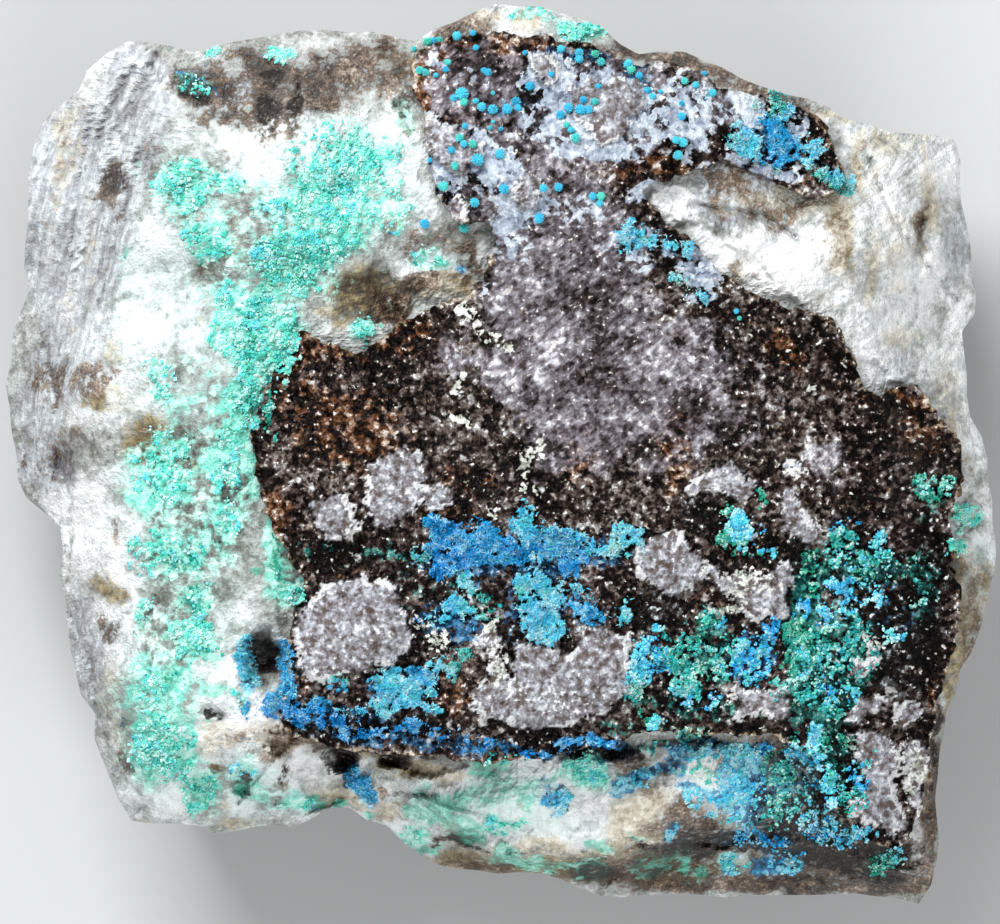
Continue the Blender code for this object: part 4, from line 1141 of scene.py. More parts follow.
        (600, 868, 130, 22, .8), (680, 872, 70, 18, .6), (500, 870, 60, 8, .5), (660, 866, 40, 16, .6),
        (470, 858, 30, 8, .6),
    ],
    "brown": [
        (192, 88, 17, 14, .75), (226, 93, 15, 13, .65), (272, 70, 22, 16, .8), (270, 112, 11, 19, .95),
        (297, 104, 10, 30, .9), (322, 80, 15, 34, .75), (358, 62, 24, 22, .7), (385, 86, 13, 15, .75),
        (409, 102, 8, 30, .75), (216, 116, 26, 6, .55), (242, 56, 12, 10, .5), (400, 60, 16, 14, .5),
        (160, 60, 10, 14, .3), (228, 158, 14, 10, .3), (340, 112, 14, 10, .5), (110, 185, 14, 18, .8),
        (85, 370, 20, 12, .7), (100, 385, 20, 10, .6), (150, 436, 20, 10, .5), (40, 470, 20, 20, .4),
        (130, 745, 10, 30, .6), (215, 772, 8, 8, .6), (300, 735, 30, 8, .6), (935, 770, 8, 100, .7),
        (970, 620, 8, 60, .7), (40, 380, 24, 14, .5), (965, 460, 10, 20, .5), (800, 205, 12, 8, .8),
        (480, 20, 20, 12, .6), (926, 222, 9, 22, .7), (840, 215, 8, 14, .5), (762, 275, 8, 6, .6),
        (733, 268, 10, 8, .5), (620, 46, 20, 8, .5), (76, 430, 14, 10, .4), (690, 195, 16, 4, .5),
        (60, 440, 30, 20, .4), (180, 62, 14, 14, .4), (770, 215, 30, 14, .3), (300, 736, 34, 12, 1),
        (325, 742, 26, 10, .75), (285, 750, 21, 10, .65), (383, 797, 5, 6, .95), (394, 760, 13, 9, .95),
        (420, 752, 26, 6, .95), (455, 838, 18, 8, 1), (478, 868, 29, 4, .65), (612, 748, 31, 9, 1),
        (600, 752, 39, 8, .85), (585, 748, 18, 8, .65), (650, 785, 23, 18, .65), (640, 765, 18, 8, .75),
        (632, 758, 21, 9, .95), (685, 805, 21, 13, 1), (668, 812, 13, 10, .75), (700, 828, 23, 6, .95),
        (680, 818, 13, 8, .75), (722, 768, 13, 10, .65), (590, 868, 21, 13, .65), (655, 850, 31, 8, .75),
        (640, 845, 18, 5, .65), (800, 790, 46, 44, .9), (780, 742, 50, 12, .7), (850, 850, 50, 22, .9),
        (730, 845, 52, 10, .85), (870, 884, 56, 10, .8), (760, 880, 39, 10, .65), (300, 85, 115, 34, .3),
        (200, 75, 20, 20, .4), (345, 66, 30, 20, .5), (740, 180, 40, 24, .52), (772, 215, 26, 18, .48),
        (832, 240, 14, 36, .5), (700, 160, 16, 10, .5), (640, 868, 60, 16, .6), (700, 858, 26, 12, .55),
        (480, 866, 50, 9, .4), (345, 752, 30, 8, .5), (205, 90, 30, 20, .35), (408, 292, 34, 9, 1),
        (424, 281, 20, 9, 1), (398, 306, 18, 20, .9), (378, 316, 8, 10, .9), (464, 247, 14, 9, .85),
        (473, 268, 8, 14, .85), (424, 248, 22, 16, .6), (198, 86, 26, 22, .6), (265, 100, 46, 34, .5),
        (278, 118, 26, 28, .6), (340, 78, 30, 26, .5), (388, 46, 24, 10, .7), (424, 116, 26, 44, .5),
        (425, 245, 26, 26, .4), (230, 121, 46, 10, .5), (156, 145, 16, 8, .4), (113, 180, 14, 20, .7),
        (202, 265, 5, 14, .6), (124, 758, 10, 20, .8), (108, 632, 10, 16, .7), (115, 532, 7, 12, .7),
        (190, 470, 10, 6, .6), (284, 765, 12, 16, .5), (283, 784, 8, 6, .7), (215, 767, 6, 5, .6),
        (200, 600, 10, 14, .3), (700, 874, 150, 18, .6), (735, 175, 30, 22, .5), (105, 372, 26, 14, .5),
        (55, 385, 22, 20, .5), (860, 150, 8, 22, .5), (128, 165, 10, 6, .5), (118, 215, 6, 10, .5),
        (466, 22, 30, 18, .9), (450, 36, 14, 8, .7), (642, 52, 28, 10, .9), (682, 62, 28, 12, .9),
        (722, 76, 28, 14, .9), (762, 92, 28, 14, .85), (802, 108, 24, 12, .7), (600, 46, 16, 6, .5),
        (650, 825, 30, 12, .5), (690, 825, 34, 12, .7), (665, 775, 26, 12, .5), (880, 790, 40, 60, .35),
        (912, 876, 30, 20, .85), (560, 882, 110, 9, .55), (800, 888, 110, 9, .8), (932, 820, 8, 60, .6),
        (905, 845, 20, 10, .7), (860, 890, 70, 10, .8), (936, 800, 12, 100, .7), (262, 752, 16, 8, .7),
        (700, 892, 90, 8, .7), (240, 735, 20, 10, .45), (820, 868, 60, 14, .5),
    ],
    "silver": SILVER_BAND + [
        (200, 80, 34, 30, .6), (240, 100, 30, 30, .5), (345, 80, 40, 26, .45), (400, 110, 16, 26, .4),
        (735, 190, 50, 34, .7), (955, 250, 14, 40, .7), (900, 380, 30, 30, .5), (860, 130, 30, 10, .6),
        (870, 300, 14, 30, .4), (160, 120, 20, 40, .5), (60, 470, 20, 30, .5), (740, 190, 50, 30, .45),
        (880, 340, 40, 40, .3), (330, 60, 60, 14, .5), (260, 95, 40, 16, .4),
    ],
    # Dark blots: partly black minerals, partly painted shadow under the crust's lip, under the lower ledges
    # and in the pits.
    "dark_and_shadow": [
        (112, 182, 11, 16, .7), (211, 713, 6, 5, .9), (266, 658, 11, 24, 1), (300, 728, 40, 5, .7),
        (32, 450, 16, 24, .3), (935, 740, 6, 40, .6), (90, 372, 12, 6, .5), (338, 755, 17, 16, 1),
        (350, 768, 10, 9, .65), (393, 760, 12, 9, .95), (600, 751, 39, 6, 1), (625, 744, 21, 8, .95),
        (350, 737, 26, 4, .85), (430, 750, 52, 6, 1), (480, 752, 39, 6, 1), (530, 750, 26, 5, .85),
        (241, 777, 6, 6, 1), (455, 838, 16, 5, .95), (480, 845, 13, 4, .85), (700, 841, 29, 9, 1),
        (680, 846, 18, 6, .95), (745, 835, 39, 9, .95), (775, 845, 39, 10, .85), (820, 850, 39, 16, 1),
        (860, 862, 39, 8, 1), (800, 760, 34, 21, .75), (830, 800, 26, 39, .85), (790, 815, 26, 13, .65),
        (762, 795, 10, 26, .75), (850, 750, 13, 26, .85), (590, 872, 13, 8, .75), (600, 880, 16, 8, .85),
        (740, 748, 18, 8, .65), (700, 739, 26, 4, .85), (815, 880, 39, 5, .75), (885, 878, 26, 6, .75),
        (575, 860, 13, 4, .65), (520, 853, 26, 4, .65), (640, 872, 24, 7, .5), (690, 850, 20, 9, .7),
        (720, 880, 30, 6, .4), (590, 876, 18, 7, .6), (340, 746, 40, 5, .6), (194, 88, 14, 13, .9),
        (270, 112, 12, 18, 1), (298, 100, 8, 26, .95), (275, 75, 14, 12, .85), (330, 62, 10, 14, .7),
        (405, 100, 6, 22, .5), (376, 319, 5, 6, .8), (211, 712, 7, 7, .9), (121, 718, 8, 9, .6),
        (128, 765, 5, 8, .7), (277, 120, 20, 22, .5), (198, 86, 22, 18, .5), (388, 46, 20, 7, .5),
        (860, 790, 40, 60, .4), (790, 835, 60, 16, .5), (602, 750, 44, 7, .8), (800, 800, 50, 50, .35),
        (700, 845, 40, 12, .5), (650, 800, 14, 8, .4), (665, 846, 44, 9, .75), (648, 862, 26, 10, .5),
        (880, 872, 24, 8, .7), (455, 842, 22, 6, .6), (255, 640, 6, 10, .5), (770, 845, 34, 12, .8),
        (850, 846, 56, 16, .6), (900, 858, 26, 22, .65), (938, 770, 6, 70, .5), (285, 772, 8, 10, .6),
        (268, 742, 18, 5, .7), (222, 762, 5, 8, .4),
    ],
    "blue": [
        (250, 640, 12, 8, .8), (290, 700, 24, 10, .9), (245, 670, 8, 30, .8), (330, 722, 30, 8, .7),
        (200, 70, 14, 10, .4), (250, 735, 10, 4, .4), (975, 520, 10, 8, .4), (348, 768, 12, 10, 1),
        (356, 778, 9, 10, 1), (365, 790, 6, 10, 1), (371, 797, 5, 6, .95), (640, 772, 21, 8, 1),
        (625, 782, 13, 10, .95), (655, 766, 16, 6, 1), (612, 790, 8, 13, .65), (558, 802, 10, 16, 1),
        (690, 752, 21, 10, .85), (682, 765, 10, 16, .95), (720, 750, 26, 10, .95), (742, 760, 18, 16, .95),
        (740, 785, 23, 21, .85), (755, 810, 21, 16, .85), (700, 790, 21, 6, .85), (722, 796, 13, 10, .65),
        (745, 838, 29, 6, 1), (770, 845, 21, 8, .95), (672, 832, 9, 9, .95), (735, 858, 13, 8, .65),
        (785, 862, 21, 12, 1), (765, 870, 16, 8, .75), (800, 780, 39, 31, .65), (600, 740, 39, 6, .95),
        (560, 748, 39, 6, .85), (316, 806, 5, 6, .75), (545, 790, 8, 21, .65), (460, 267, 7, 5, .9),
        (200, 82, 10, 9, .5), (118, 716, 5, 6, .5), (183, 72, 5, 5, .6), (214, 88, 5, 5, .6),
    ],
    "glassy": [
        (200, 520, 52, 76, .75), (290, 560, 12, 60, .55), (235, 620, 28, 38, .55), (170, 690, 28, 40, .35),
        (262, 455, 14, 60, .5), (600, 868, 90, 14, .8), (470, 868, 40, 8, .6), (150, 440, 26, 20, .4),
        (245, 230, 20, 20, .3), (560, 858, 30, 8, .6), (160, 290, 20, 30, .35), (180, 360, 30, 30, .3),
        (120, 420, 30, 30, .3), (162, 616, 16, 34, .8), (178, 511, 20, 10, .8), (239, 486, 16, 16, .8),
        (219, 596, 15, 14, .7), (177, 374, 9, 12, .8), (458, 236, 26, 14, .8),
    ],
}

# %% Paint the stains and the painted shadows on the rock
points = positions(rock_mesh)
moved = wandered(points)
STAIN_FADE = (0.06, 0.42)
near_face = np.concatenate([np.ones(face_count), 1 - smooth_step(*STAIN_FADE, side_levels)])
for stain, blots in ROCK_STAINS_AND_SHADE.items():
    paint(rock_mesh, stain, blotted(moved, blots) * near_face)
# Painted light and shade: the relief is kept to paint raised parts lighter and hollows darker.
rock_relief = np.concatenate([fine_relief + 0.4 * forms, 0.4 * side_relief])
paint(rock_mesh, "raised", np.clip(rock_relief / 0.5, -1, 1))
# Painted shade: the two main grooves of the slickenside are also painted dark along their line.
SHADED_GROOVES = GROOVES[:2]
grooves = np.zeros(len(points))
grooves[:face_count] = traced(face_points, SHADED_GROOVES)
paint(rock_mesh, "groove", grooves)
cover, hue = crystal_cover(points)
paint(rock_mesh, "cover", cover * near_face**3)
paint(rock_mesh, "hue", hue)
print("painted", ", ".join(ROCK_STAINS_AND_SHADE))

# %% The rock's finish
SLIDE_ANGLE = math.atan2(*(SLIDE_FOOT - SLIDE_TOP)[::-1])


def vein_quartz():
    rock = Finish("vein_quartz")
    clouds = rock.noise(3.2, 3, 1)
    mottle = rock.noise(1.2, 3, 2)
    grain = rock.noise(0.45, 2, 3)
    dust = rock.noise(0.18, 1, 4)
    sugar = rock.grains(0.42, 5)
    lumps = rock.grains(0.8, 7)
    streaks = rock.noise(1, 3, 5, place=rock.drawn_out(SLIDE_ANGLE, 0.5, 3.5))
    # Painted light and shade: each layer's tone below is lighter where the relief is raised and darker in
    # hollows.
    raised = rock.painted("raised")
    white = rock.painted("white")
    glassy = rock.painted("glassy")
    turquoise = rock.painted("turquoise")

    clear = 0.34 * mottle + 0.3 * grain + 0.12 * dust + 0.08 * sugar + 0.14 * lumps + 0.3 * raised
    clear = clear + 0.6 * white - 0.5 * glassy - 0.16
    base = rock.ramp(
        clear, (-1, "#35302B"), (-0.5, "#858681"), (-0.1, "#B9BEBC"), (0.25, "#E6E9EA"), (0.65, "#FAFBFB")
    )
    base = rock.mix(turquoise * 0.5, base, "#BDF2EA", "MULTIPLY")

    silver = rock.patches(rock.painted("silver"), 0.3 * mottle, 0.15 * grain)
    base = rock.layer(
        base, silver * 0.8, 0.5 * streaks + 0.3 * raised + 0.2 * sugar + 0.25 * clouds,
        (-0.9, "#4D4A50"), (-0.35, "#8B8C92"), (0.05, "#BAC0C6"), (0.4, "#E2E9EE"), (0.8, "#FFFFFF"),
    )
    tan = rock.patches(rock.painted("tan") * 0.85, 0.35 * mottle, 0.2 * grain, soft=0.3)
    base = rock.layer(
        base, tan * 0.65, 0.4 * grain + 0.3 * clouds + 0.35 * raised + 0.2 * sugar,
        (-0.8, "#5A4630"), (-0.3, "#A08C6A"), (0.1, "#CDC0A0"), (0.5, "#F0E9D4"), (0.9, "#FFFFFF"),
    )
    rust = rock.patches(rock.painted("olive") * 0.85, 0.35 * mottle, 0.25 * grain, -0.25 * raised, soft=0.26)
    base = rock.layer(
        base, rust * 0.88, 0.6 * grain + 0.1 * sugar + 0.4 * clouds + 0.3 * raised,
        (-0.8, "#1C120B"), (-0.3, "#4A3A22"), (0.1, "#83734A"), (0.5, "#B8A778"), (0.9, "#E0D6B8"),
    )
    brown = rock.patches(rock.painted("brown") * 0.9, 0.45 * mottle, 0.45 * grain, -0.2 * raised, soft=0.24)
    base = rock.layer(
        base, brown * 0.92, 0.6 * grain + 0.3 * dust + 0.3 * raised + 0.55 * mottle,
        (-0.8, "#080302"), (-0.3, "#2B1C14"), (0.1, "#5E4B3C"), (0.5, "#A08F80"), (0.9, "#E6DDD2"),
    )
    stained = turquoise + 0.4 * mottle + 0.25 * grain + 0.25 * clouds + 0.12 * lumps
    stain = rock.step(0.35, 0.72, stained - (0.25 * white + 0.2 * glassy))
    base = rock.layer(
        base, stain * 0.9,
        0.35 * rock.noise(0.8, 2, 6) + 0.3 * grain + 0.25 * dust + 0.25 * mottle + 0.3 * lumps,
        (-0.8, "#1E8C78"), (-0.4, "#48CBB2"), (-0.05, "#82E8D4"), (0.3, "#C6F8EC"), (0.7, "#FFFFFF"),
    )
    green = rock.patches(rock.painted("green") * 0.85, 0.35 * mottle, 0.3 * grain, 0.12 * lumps, soft=0.2)
    base = rock.layer(
        base, green * 0.85, 0.4 * grain + 0.25 * lumps + 0.3 * raised + 0.4 * mottle,
        (-0.8, "#0C4A3C"), (-0.35, "#2C8E76"), (0.05, "#62C2AC"), (0.4, "#A6EAD8"), (0.8, "#F0FFFA"),
    )
    blue = rock.patches(rock.painted("blue"), 0.4 * mottle, 0.35 * grain, soft=0.2)
    base = rock.layer(
        base, blue * 0.9, 0.45 * sugar + 0.35 * grain + 0.4 * raised,
        (-0.8, "#04101E"), (-0.3, "#14527C"), (0.0, "#3C9FCC"), (0.35, "#8FE0F6"), (0.8, "#E8FCFF"),
    )
    # Under the crystals the rock takes their colours, with painted shade and highlight following noise.
    velvety = rock.patches(rock.painted("cover"), 0.2 * grain)
    base = rock.mix(velvety * 0.8, base, rock.velvet(0.7 + 0.6 * grain + 0.25 * mottle + 0.2 * dust))
    specks = rock.step(0.75, 1.05, 0.7 * grain + 0.6 * dust + 0.2 * clouds)
    base = rock.mix(specks * (0.45 - 0.4 * turquoise), base, "#57493A")
    # Dark blots, partly black minerals and partly painted shadow under ledges and in pits.
    dark_and_shadow = rock.patches(rock.painted("dark_and_shadow") * 0.8, 0.4 * mottle, 0.35 * grain, 0.15 * clouds, soft=0.2)
    base = rock.layer(
        base, dark_and_shadow * 0.94, 0.6 * grain + 0.4 * dust + 0.4 * sugar,
        (-0.4, "#070303"), (0.3, "#1D1411"), (1, "#8A8178"),
    )
    # Painted shade in the main grooves.
    base = rock.mix(rock.painted("groove") * rock.step(-0.7, 0.4, mottle) * 0.7, base, "#332C2C")
    height = 0.5 * grain + 0.36 * dust
    return rock.finish(base, 0.42 + 0.2 * grain, rock.bump(height, 0.09), 0.3)


rock_mesh.materials.append(vein_quartz())

# %% [markdown]
# ## The iron crust's colours
# Close up, the crust is a mosaic of brown, black and grey scales. Its middle is grey-lilac with a silky sheen
# in streaks that all run one way, and the pale streaks are painted highlight; towards the rim it turns rusty.
# Frosty white films lie on its upper part. The colours are painted lighter on its swells and darker in its
# dips, its hollows are partly black mineral and partly painted shadow, and pale lines along the plates' edges
# and the torn rim are painted highlight.

# %% Where each tint is on the crust
CRUST_TINTS = {
    "rust": [
        (340, 340, 44, 22, .7), (300, 380, 24, 30, .5), (350, 430, 60, 44, .6), (675, 445, 20, 44, .9),
        (782, 352, 16, 20, .8), (578, 455, 26, 28, .7), (280, 520, 18, 34, .9), (400, 335, 40, 22, .7),
        (330, 556, 50, 16, .6), (440, 520, 40, 14, .4), (300, 670, 14, 40, .5), (450, 690, 30, 30, .5),
        (700, 605, 40, 20, .4), (520, 50, 60, 12, .6), (440, 100, 30, 60, .5), (770, 180, 50, 12, .6),
        (460, 480, 50, 20, .4), (920, 430, 30, 40, .5), (880, 400, 30, 12, .6), (640, 740, 60, 8, .6),
        (700, 170, 60, 14, .5), (690, 60, 40, 8, .6), (500, 700, 30, 20, .3), (930, 680, 14, 60, .6),
        (445, 85, 40, 34, .8), (415, 120, 16, 50, .8), (480, 50, 30, 12, .6), (660, 165, 40, 10, .7),
        (600, 175, 40, 14, .5),
    ],
    "frost": [
        (562, 85, 14, 28, .8), (535, 72, 14, 22, .9), (600, 112, 44, 40, .75), (600, 150, 30, 14, .7),
        (752, 118, 14, 12, .7), (802, 128, 14, 14, .7), (765, 172, 16, 7, .7), (735, 150, 12, 14, .5),
        (430, 138, 16, 20, .7), (468, 158, 30, 28, .9), (470, 78, 26, 14, .45), (440, 60, 12, 12, .5),
        (505, 165, 16, 12, .6), (530, 192, 17, 20, .8), (478, 141, 11, 9, 1), (458, 212, 13, 18, 1),
        (505, 225, 15, 12, .6), (560, 155, 22, 12, .6), (650, 196, 26, 9, .9), (690, 145, 20, 24, .5),
        (740, 178, 44, 18, .8), (645, 95, 16, 12, .7), (510, 245, 30, 16, .5), (580, 210, 30, 16, .5),
        (560, 60, 20, 10, .5), (700, 120, 40, 20, .4), (620, 150, 40, 20, .4), (520, 205, 30, 24, .6),
        (600, 70, 20, 12, .4), (660, 130, 20, 20, .5), (440, 175, 24, 24, .6), (500, 180, 20, 14, .6),
        (700, 265, 20, 22, .8), (420, 190, 14, 16, .6), (690, 100, 30, 20, .4), (740, 100, 18, 14, .8),
        (790, 175, 14, 10, .6), (640, 250, 40, 24, .4), (735, 235, 20, 14, .5), (480, 285, 14, 10, .5),
        (700, 300, 24, 10, .5), (540, 120, 30, 24, .5),
    ],
    "chips": [
        (458, 312, 8, 4, .9), (470, 317, 8, 4, .9), (484, 328, 8, 5, .9), (496, 340, 6, 5, .9),
        (507, 350, 7, 3, .9), (450, 386, 7, 6, 1), (466, 421, 7, 6, 1), (806, 389, 5, 5, 1),
        (536, 440, 5, 10, .7), (531, 462, 6, 12, .8), (528, 486, 6, 10, .7), (440, 640, 14, 10, .6),
        (425, 622, 10, 8, .6), (792, 467, 10, 7, 1), (870, 650, 14, 8, .6), (490, 510, 7, 5, .7),
        (376, 387, 5, 5, .6), (490, 625, 9, 9, .8), (560, 700, 40, 10, .3), (498, 660, 6, 30, .7),
        (735, 697, 8, 8, .8), (912, 768, 7, 30, .8), (752, 585, 26, 8, .6), (736, 600, 10, 8, .6),
    ],
    "green": [
        (430, 600, 50, 60, .3), (710, 640, 30, 40, .6), (860, 565, 46, 24, .7), (830, 650, 50, 60, .6),
        (700, 705, 70, 16, .5), (820, 705, 40, 26, .6), (830, 760, 16, 36, .6), (316, 545, 24, 12, .42),
        (380, 556, 20, 10, .5), (930, 500, 16, 24, .4), (800, 600, 18, 60, .6), (640, 560, 20, 16, .4),
        (830, 180, 20, 14, .6), (925, 585, 22, 40, .5), (645, 730, 60, 8, .5),
    ],
    "blue": [
        (500, 556, 90, 24, .6), (540, 610, 40, 36, .5), (605, 550, 36, 20, .5), (450, 615, 30, 20, .5),
        (400, 695, 38, 24, .5), (750, 655, 30, 26, .6), (776, 140, 32, 26, .6), (660, 244, 40, 16, .4),
        (885, 600, 40, 50, .3), (330, 714, 50, 10, .6), (500, 746, 120, 7, .5), (400, 736, 80, 8, .5),
        (600, 742, 40, 8, .6), (460, 630, 36, 20, .4), (590, 52, 60, 8, .6), (640, 70, 20, 12, .6),
        (510, 110, 40, 8, .5),
    ],
}

# %% Paint the tints on the crust
points = positions(crust_mesh)
flat_points = flattened(points, CRUST_LEVEL)
plate_depth = plate_depth_at(flat_points)
paint(crust_mesh, "plate", plate_cover(plate_depth))
# Painted highlight: a band just inside each grey plate's edge is painted near white.
near_edge = 1 - smooth_step(0.1 * MM, 0.4 * MM, plate_depth)
paint(crust_mesh, "plate_rim_highlight", smooth_step(-0.1 * MM, 0, plate_depth) * near_edge)
paint(crust_mesh, "silky", blotted(points, SILKY_ZONE))
paint(crust_mesh, "hollow", blotted(points, BLACK_HOLLOWS))
swell, knobs, crumbs = crust_lumps(flat_points)
# Painted light and shade: the crust's swells are painted lighter and its dips darker.
paint(crust_mesh, "raised", np.clip((0.2 * swell + 0.13 * knobs + 0.07 * crumbs) / 0.2, -1, 1))
# Painted highlight: a thin band along the crust's torn rim, painted tan as the edge catching light.
paint(crust_mesh, "rim", 1 - smooth_step(0.05 * MM, 0.35 * MM, sampled(crust_depth, points)))
moved = wandered(points)
for tint, blots in CRUST_TINTS.items():
    paint(crust_mesh, tint, blotted(moved, blots))
for name, values in zip(("cover", "hue"), crystal_cover(points)):
    paint(crust_mesh, name, values)

# %% The crust's finish
SILK_ANGLE = math.atan2(*(SILK_END - SILK_START)[::-1])


def iron_oxide():
    crust = Finish("iron_oxide", "2D")
    clouds = crust.noise(2.6, 3, 11)
    mottle = crust.noise(1.0, 3, 12)
    scales = crust.noise(0.42, 2, 13)
    mosaic = crust.grains(0.34, 15)
    specks = crust.grains(0.2, 16)
    silk = crust.noise(1, 3, 17, place=crust.drawn_out(SILK_ANGLE, 0.3, 0.9))
    # Painted light and shade: the speckle and the layers below are lighter on the swells and darker in the
    # dips.
    raised = crust.painted("raised")

    speckle = 0.38 * mosaic + 0.42 * scales + 0.35 * mottle + 0.25 * specks + 0.45 * raised
    base = crust.ramp(
        speckle, (-0.6, "#020000"), (-0.2, "#120A09"), (0.05, "#332722"), (0.4, "#665A55"), (0.8, "#A5A4A3"),
        (1, "#F0F0F0"),
    )
    rust = crust.patches(crust.painted("rust"), 0.4 * mottle, 0.25 * scales)
    base = crust.layer(
        base, rust * 0.8, speckle,
        (-0.6, "#030100"), (-0.25, "#180B06"), (0.0, "#44260F"), (0.4, "#7E5030"), (0.9, "#D8C8B4"),
    )
    # Painted sheen over the crust's own grey-lilac: the streaks run from dark to white, the pale ones painted
    # highlight.
    silky = crust.patches(crust.painted("silky"), 0.3 * clouds, 0.25 * mottle)
    base = crust.layer(
        base, silky * 0.8, 0.4 * silk + 0.25 * mosaic + 0.35 * scales + 0.35 * raised + 0.4 * clouds,
        (-0.8, "#0C0808"), (-0.4, "#382F30"), (0.0, "#716A70"), (0.4, "#A6A3AD"), (0.75, "#ECEBF4"),
        (1, "#FFFFFF"),
    )
    # Painted shadow and black mineral in the hollows.
    hollow = crust.patches(crust.painted("hollow"), 0.35 * mottle, 0.2 * scales)
    base = crust.layer(
        base, hollow * 0.92, speckle, (-0.2, "#020101"), (0.3, "#15100F"), (0.6, "#4A4A4C"), (1, "#B8C4C6")
    )
    green = crust.patches(crust.painted("green"), 0.4 * mottle, 0.3 * scales)
    base = crust.layer(base, green * 0.8, speckle, (-0.7, "#010A0A"), (0, "#0B4B46"), (0.6, "#2F9890"))
    blue = crust.patches(crust.painted("blue"), 0.35 * mottle, 0.3 * scales)
    base = crust.layer(base, blue * 0.85, speckle, (-0.7, "#01040A"), (0, "#0D3558"), (0.6, "#2F84B4"))
    # Under the crystals the crust takes their colours, with painted shade and highlight following noise.
    velvety = crust.patches(crust.painted("cover"), 0.2 * scales)
    base = crust.mix(velvety * 0.92, base, crust.velvet(0.6 + 0.7 * scales + 0.2 * mottle + 0.2 * specks))
    frost = crust.patches(crust.painted("frost"), 0.4 * mottle, 0.2 * mosaic, 0.15 * raised)
    base = crust.layer(
        base, frost * 0.9, 0.3 * mosaic + 0.35 * scales + 0.3 * clouds + 0.3 * raised,
        (-0.8, "#4A5468"), (-0.3, "#8C97AB"), (0.1, "#B9C6D6"), (0.5, "#DDE8F0"), (0.9, "#FCFFFF"),
    )
    plate = crust.painted("plate")
    base = crust.layer(
        base, plate, 0.45 * mottle + 0.15 * mosaic + 0.45 * scales + 0.2 * specks + 0.2 * clouds,
        (-0.9, "#1E1716"), (-0.45, "#5F5754"), (0.0, "#94939A"), (0.4, "#C6CBD4"), (0.75, "#FFFFFF"),
    )
    soiled = crust.step(0.0, 0.6, 0.6 * clouds - 0.5 * mottle - 0.35 * scales) * plate
    base = crust.mix(soiled * 0.7, base, "#5E4E46")
    # Painted highlight along the grey plates' edges.
    lit = crust.patches(crust.painted("plate_rim_highlight") * 0.6, 0.5 * clouds, 0.4 * mottle)
    base = crust.mix(lit * 0.8, base, "#F2F3F4")
    # Painted highlight along the torn rim, in tan.
    tan = crust.patches(crust.painted("rim") * 0.4, 0.5 * mottle, 0.4 * scales, soft=0.2)
    base = crust.layer(base, tan * 0.6, speckle, (-0.6, "#3A2A1C"), (0, "#8E7456"), (0.6, "#D8C8AE"))
    chips = crust.patches(crust.painted("chips") * 0.85, 0.5 * scales, 0.3 * specks)
    base = crust.layer(base, chips * 0.92, speckle, (-0.6, "#8E9084"), (0.0, "#D8DDD2"), (0.5, "#FFFFFF"))
    height = 0.4 * scales + 0.45 * mosaic + 0.25 * specks
    return crust.finish(base, 0.36 + 0.15 * scales, crust.bump(height, 0.15), 0.07)


crust_mesh.materials.append(iron_oxide())

# %% [markdown]
# ## Crystals
# Cyanotrichite grows as fine needles, about a quarter of a millimetre long here, that pile up into velvety
# cushions. The green and turquoise minerals grow as grains of the same size. A needle is a thin pyramid and a
# grain a lump with twelve facets. Each patch is one mesh of many copies, made as arrays of points, because
# thousands of objects would be slow and the copies differ only in place, size, turn and colour. A ray cast
# down on the finished surfaces puts each on its ground.

# %% One needle, one grain and one ball, and the ground that they stand on
def template(bm):
    """The points and triangles of a mesh of about 1 across."""
    bmesh.ops.triangulate(bm, faces=bm.faces)
    points = np.array([vert.co for vert in bm.verts])
    triangles = np.array([[vert.index for vert in face.verts] for face in bm.faces])
    bm.free()
    return points, triangles


def needle():
    """A thin three-sided pyramid on its foot."""
    bm = bmesh.new()
    bmesh.ops.create_cone(bm, cap_ends=True, cap_tris=True, segments=3, radius1=0.2, radius2=0, depth=1)
    bmesh.ops.translate(bm, vec=(0, 0, 0.4), verts=bm.verts)
    bmesh.ops.remove_doubles(bm, verts=bm.verts, dist=1e-4)
    return template(bm)


def grain(seed):
    """A lump of 12 facets: a cube whose corners are pulled in and out."""
    bm = bmesh.new()
    bmesh.ops.create_cube(bm, size=0.65)
    generator = np.random.default_rng(seed)
    for vert in bm.verts:
        vert.co *= generator.uniform(0.65, 1.35)
    return template(bm)


def spiky_ball(subdivisions, spike, seed):
    """A ball of diameter 1 with every face drawn out to a spike."""
    bm = bmesh.new()
    bmesh.ops.create_icosphere(bm, subdivisions=subdivisions, radius=0.42)
    generator = np.random.default_rng(seed)
    for vert in bmesh.ops.poke(bm, faces=bm.faces)["verts"]:
        vert.co *= 1 + spike * generator.uniform(0.3, 1)
    return template(bm)


def tree_of(mesh):
    bm = bmesh.new()
    bm.from_mesh(mesh)
    tree = BVHTree.FromBMesh(bm)
    bm.free()
    return tree


NEEDLE = needle()
GRAIN = grain(3)
BALL = spiky_ball(2, 0.6, 2)
rock_top, crust_top = tree_of(rock_mesh), tree_of(crust_mesh)


def ground_at(x, y):
    """The height of the finished surface at a place, or NaN beside it."""
    hits = [tree.ray_cast(Vector((x, y, ABOVE)), DOWN)[0] for tree in (rock_top, crust_top)]
    return max((hit.z for hit in hits if hit), default=math.nan)


# %% Crowds of crystals
BLOT_REACH = 1.3


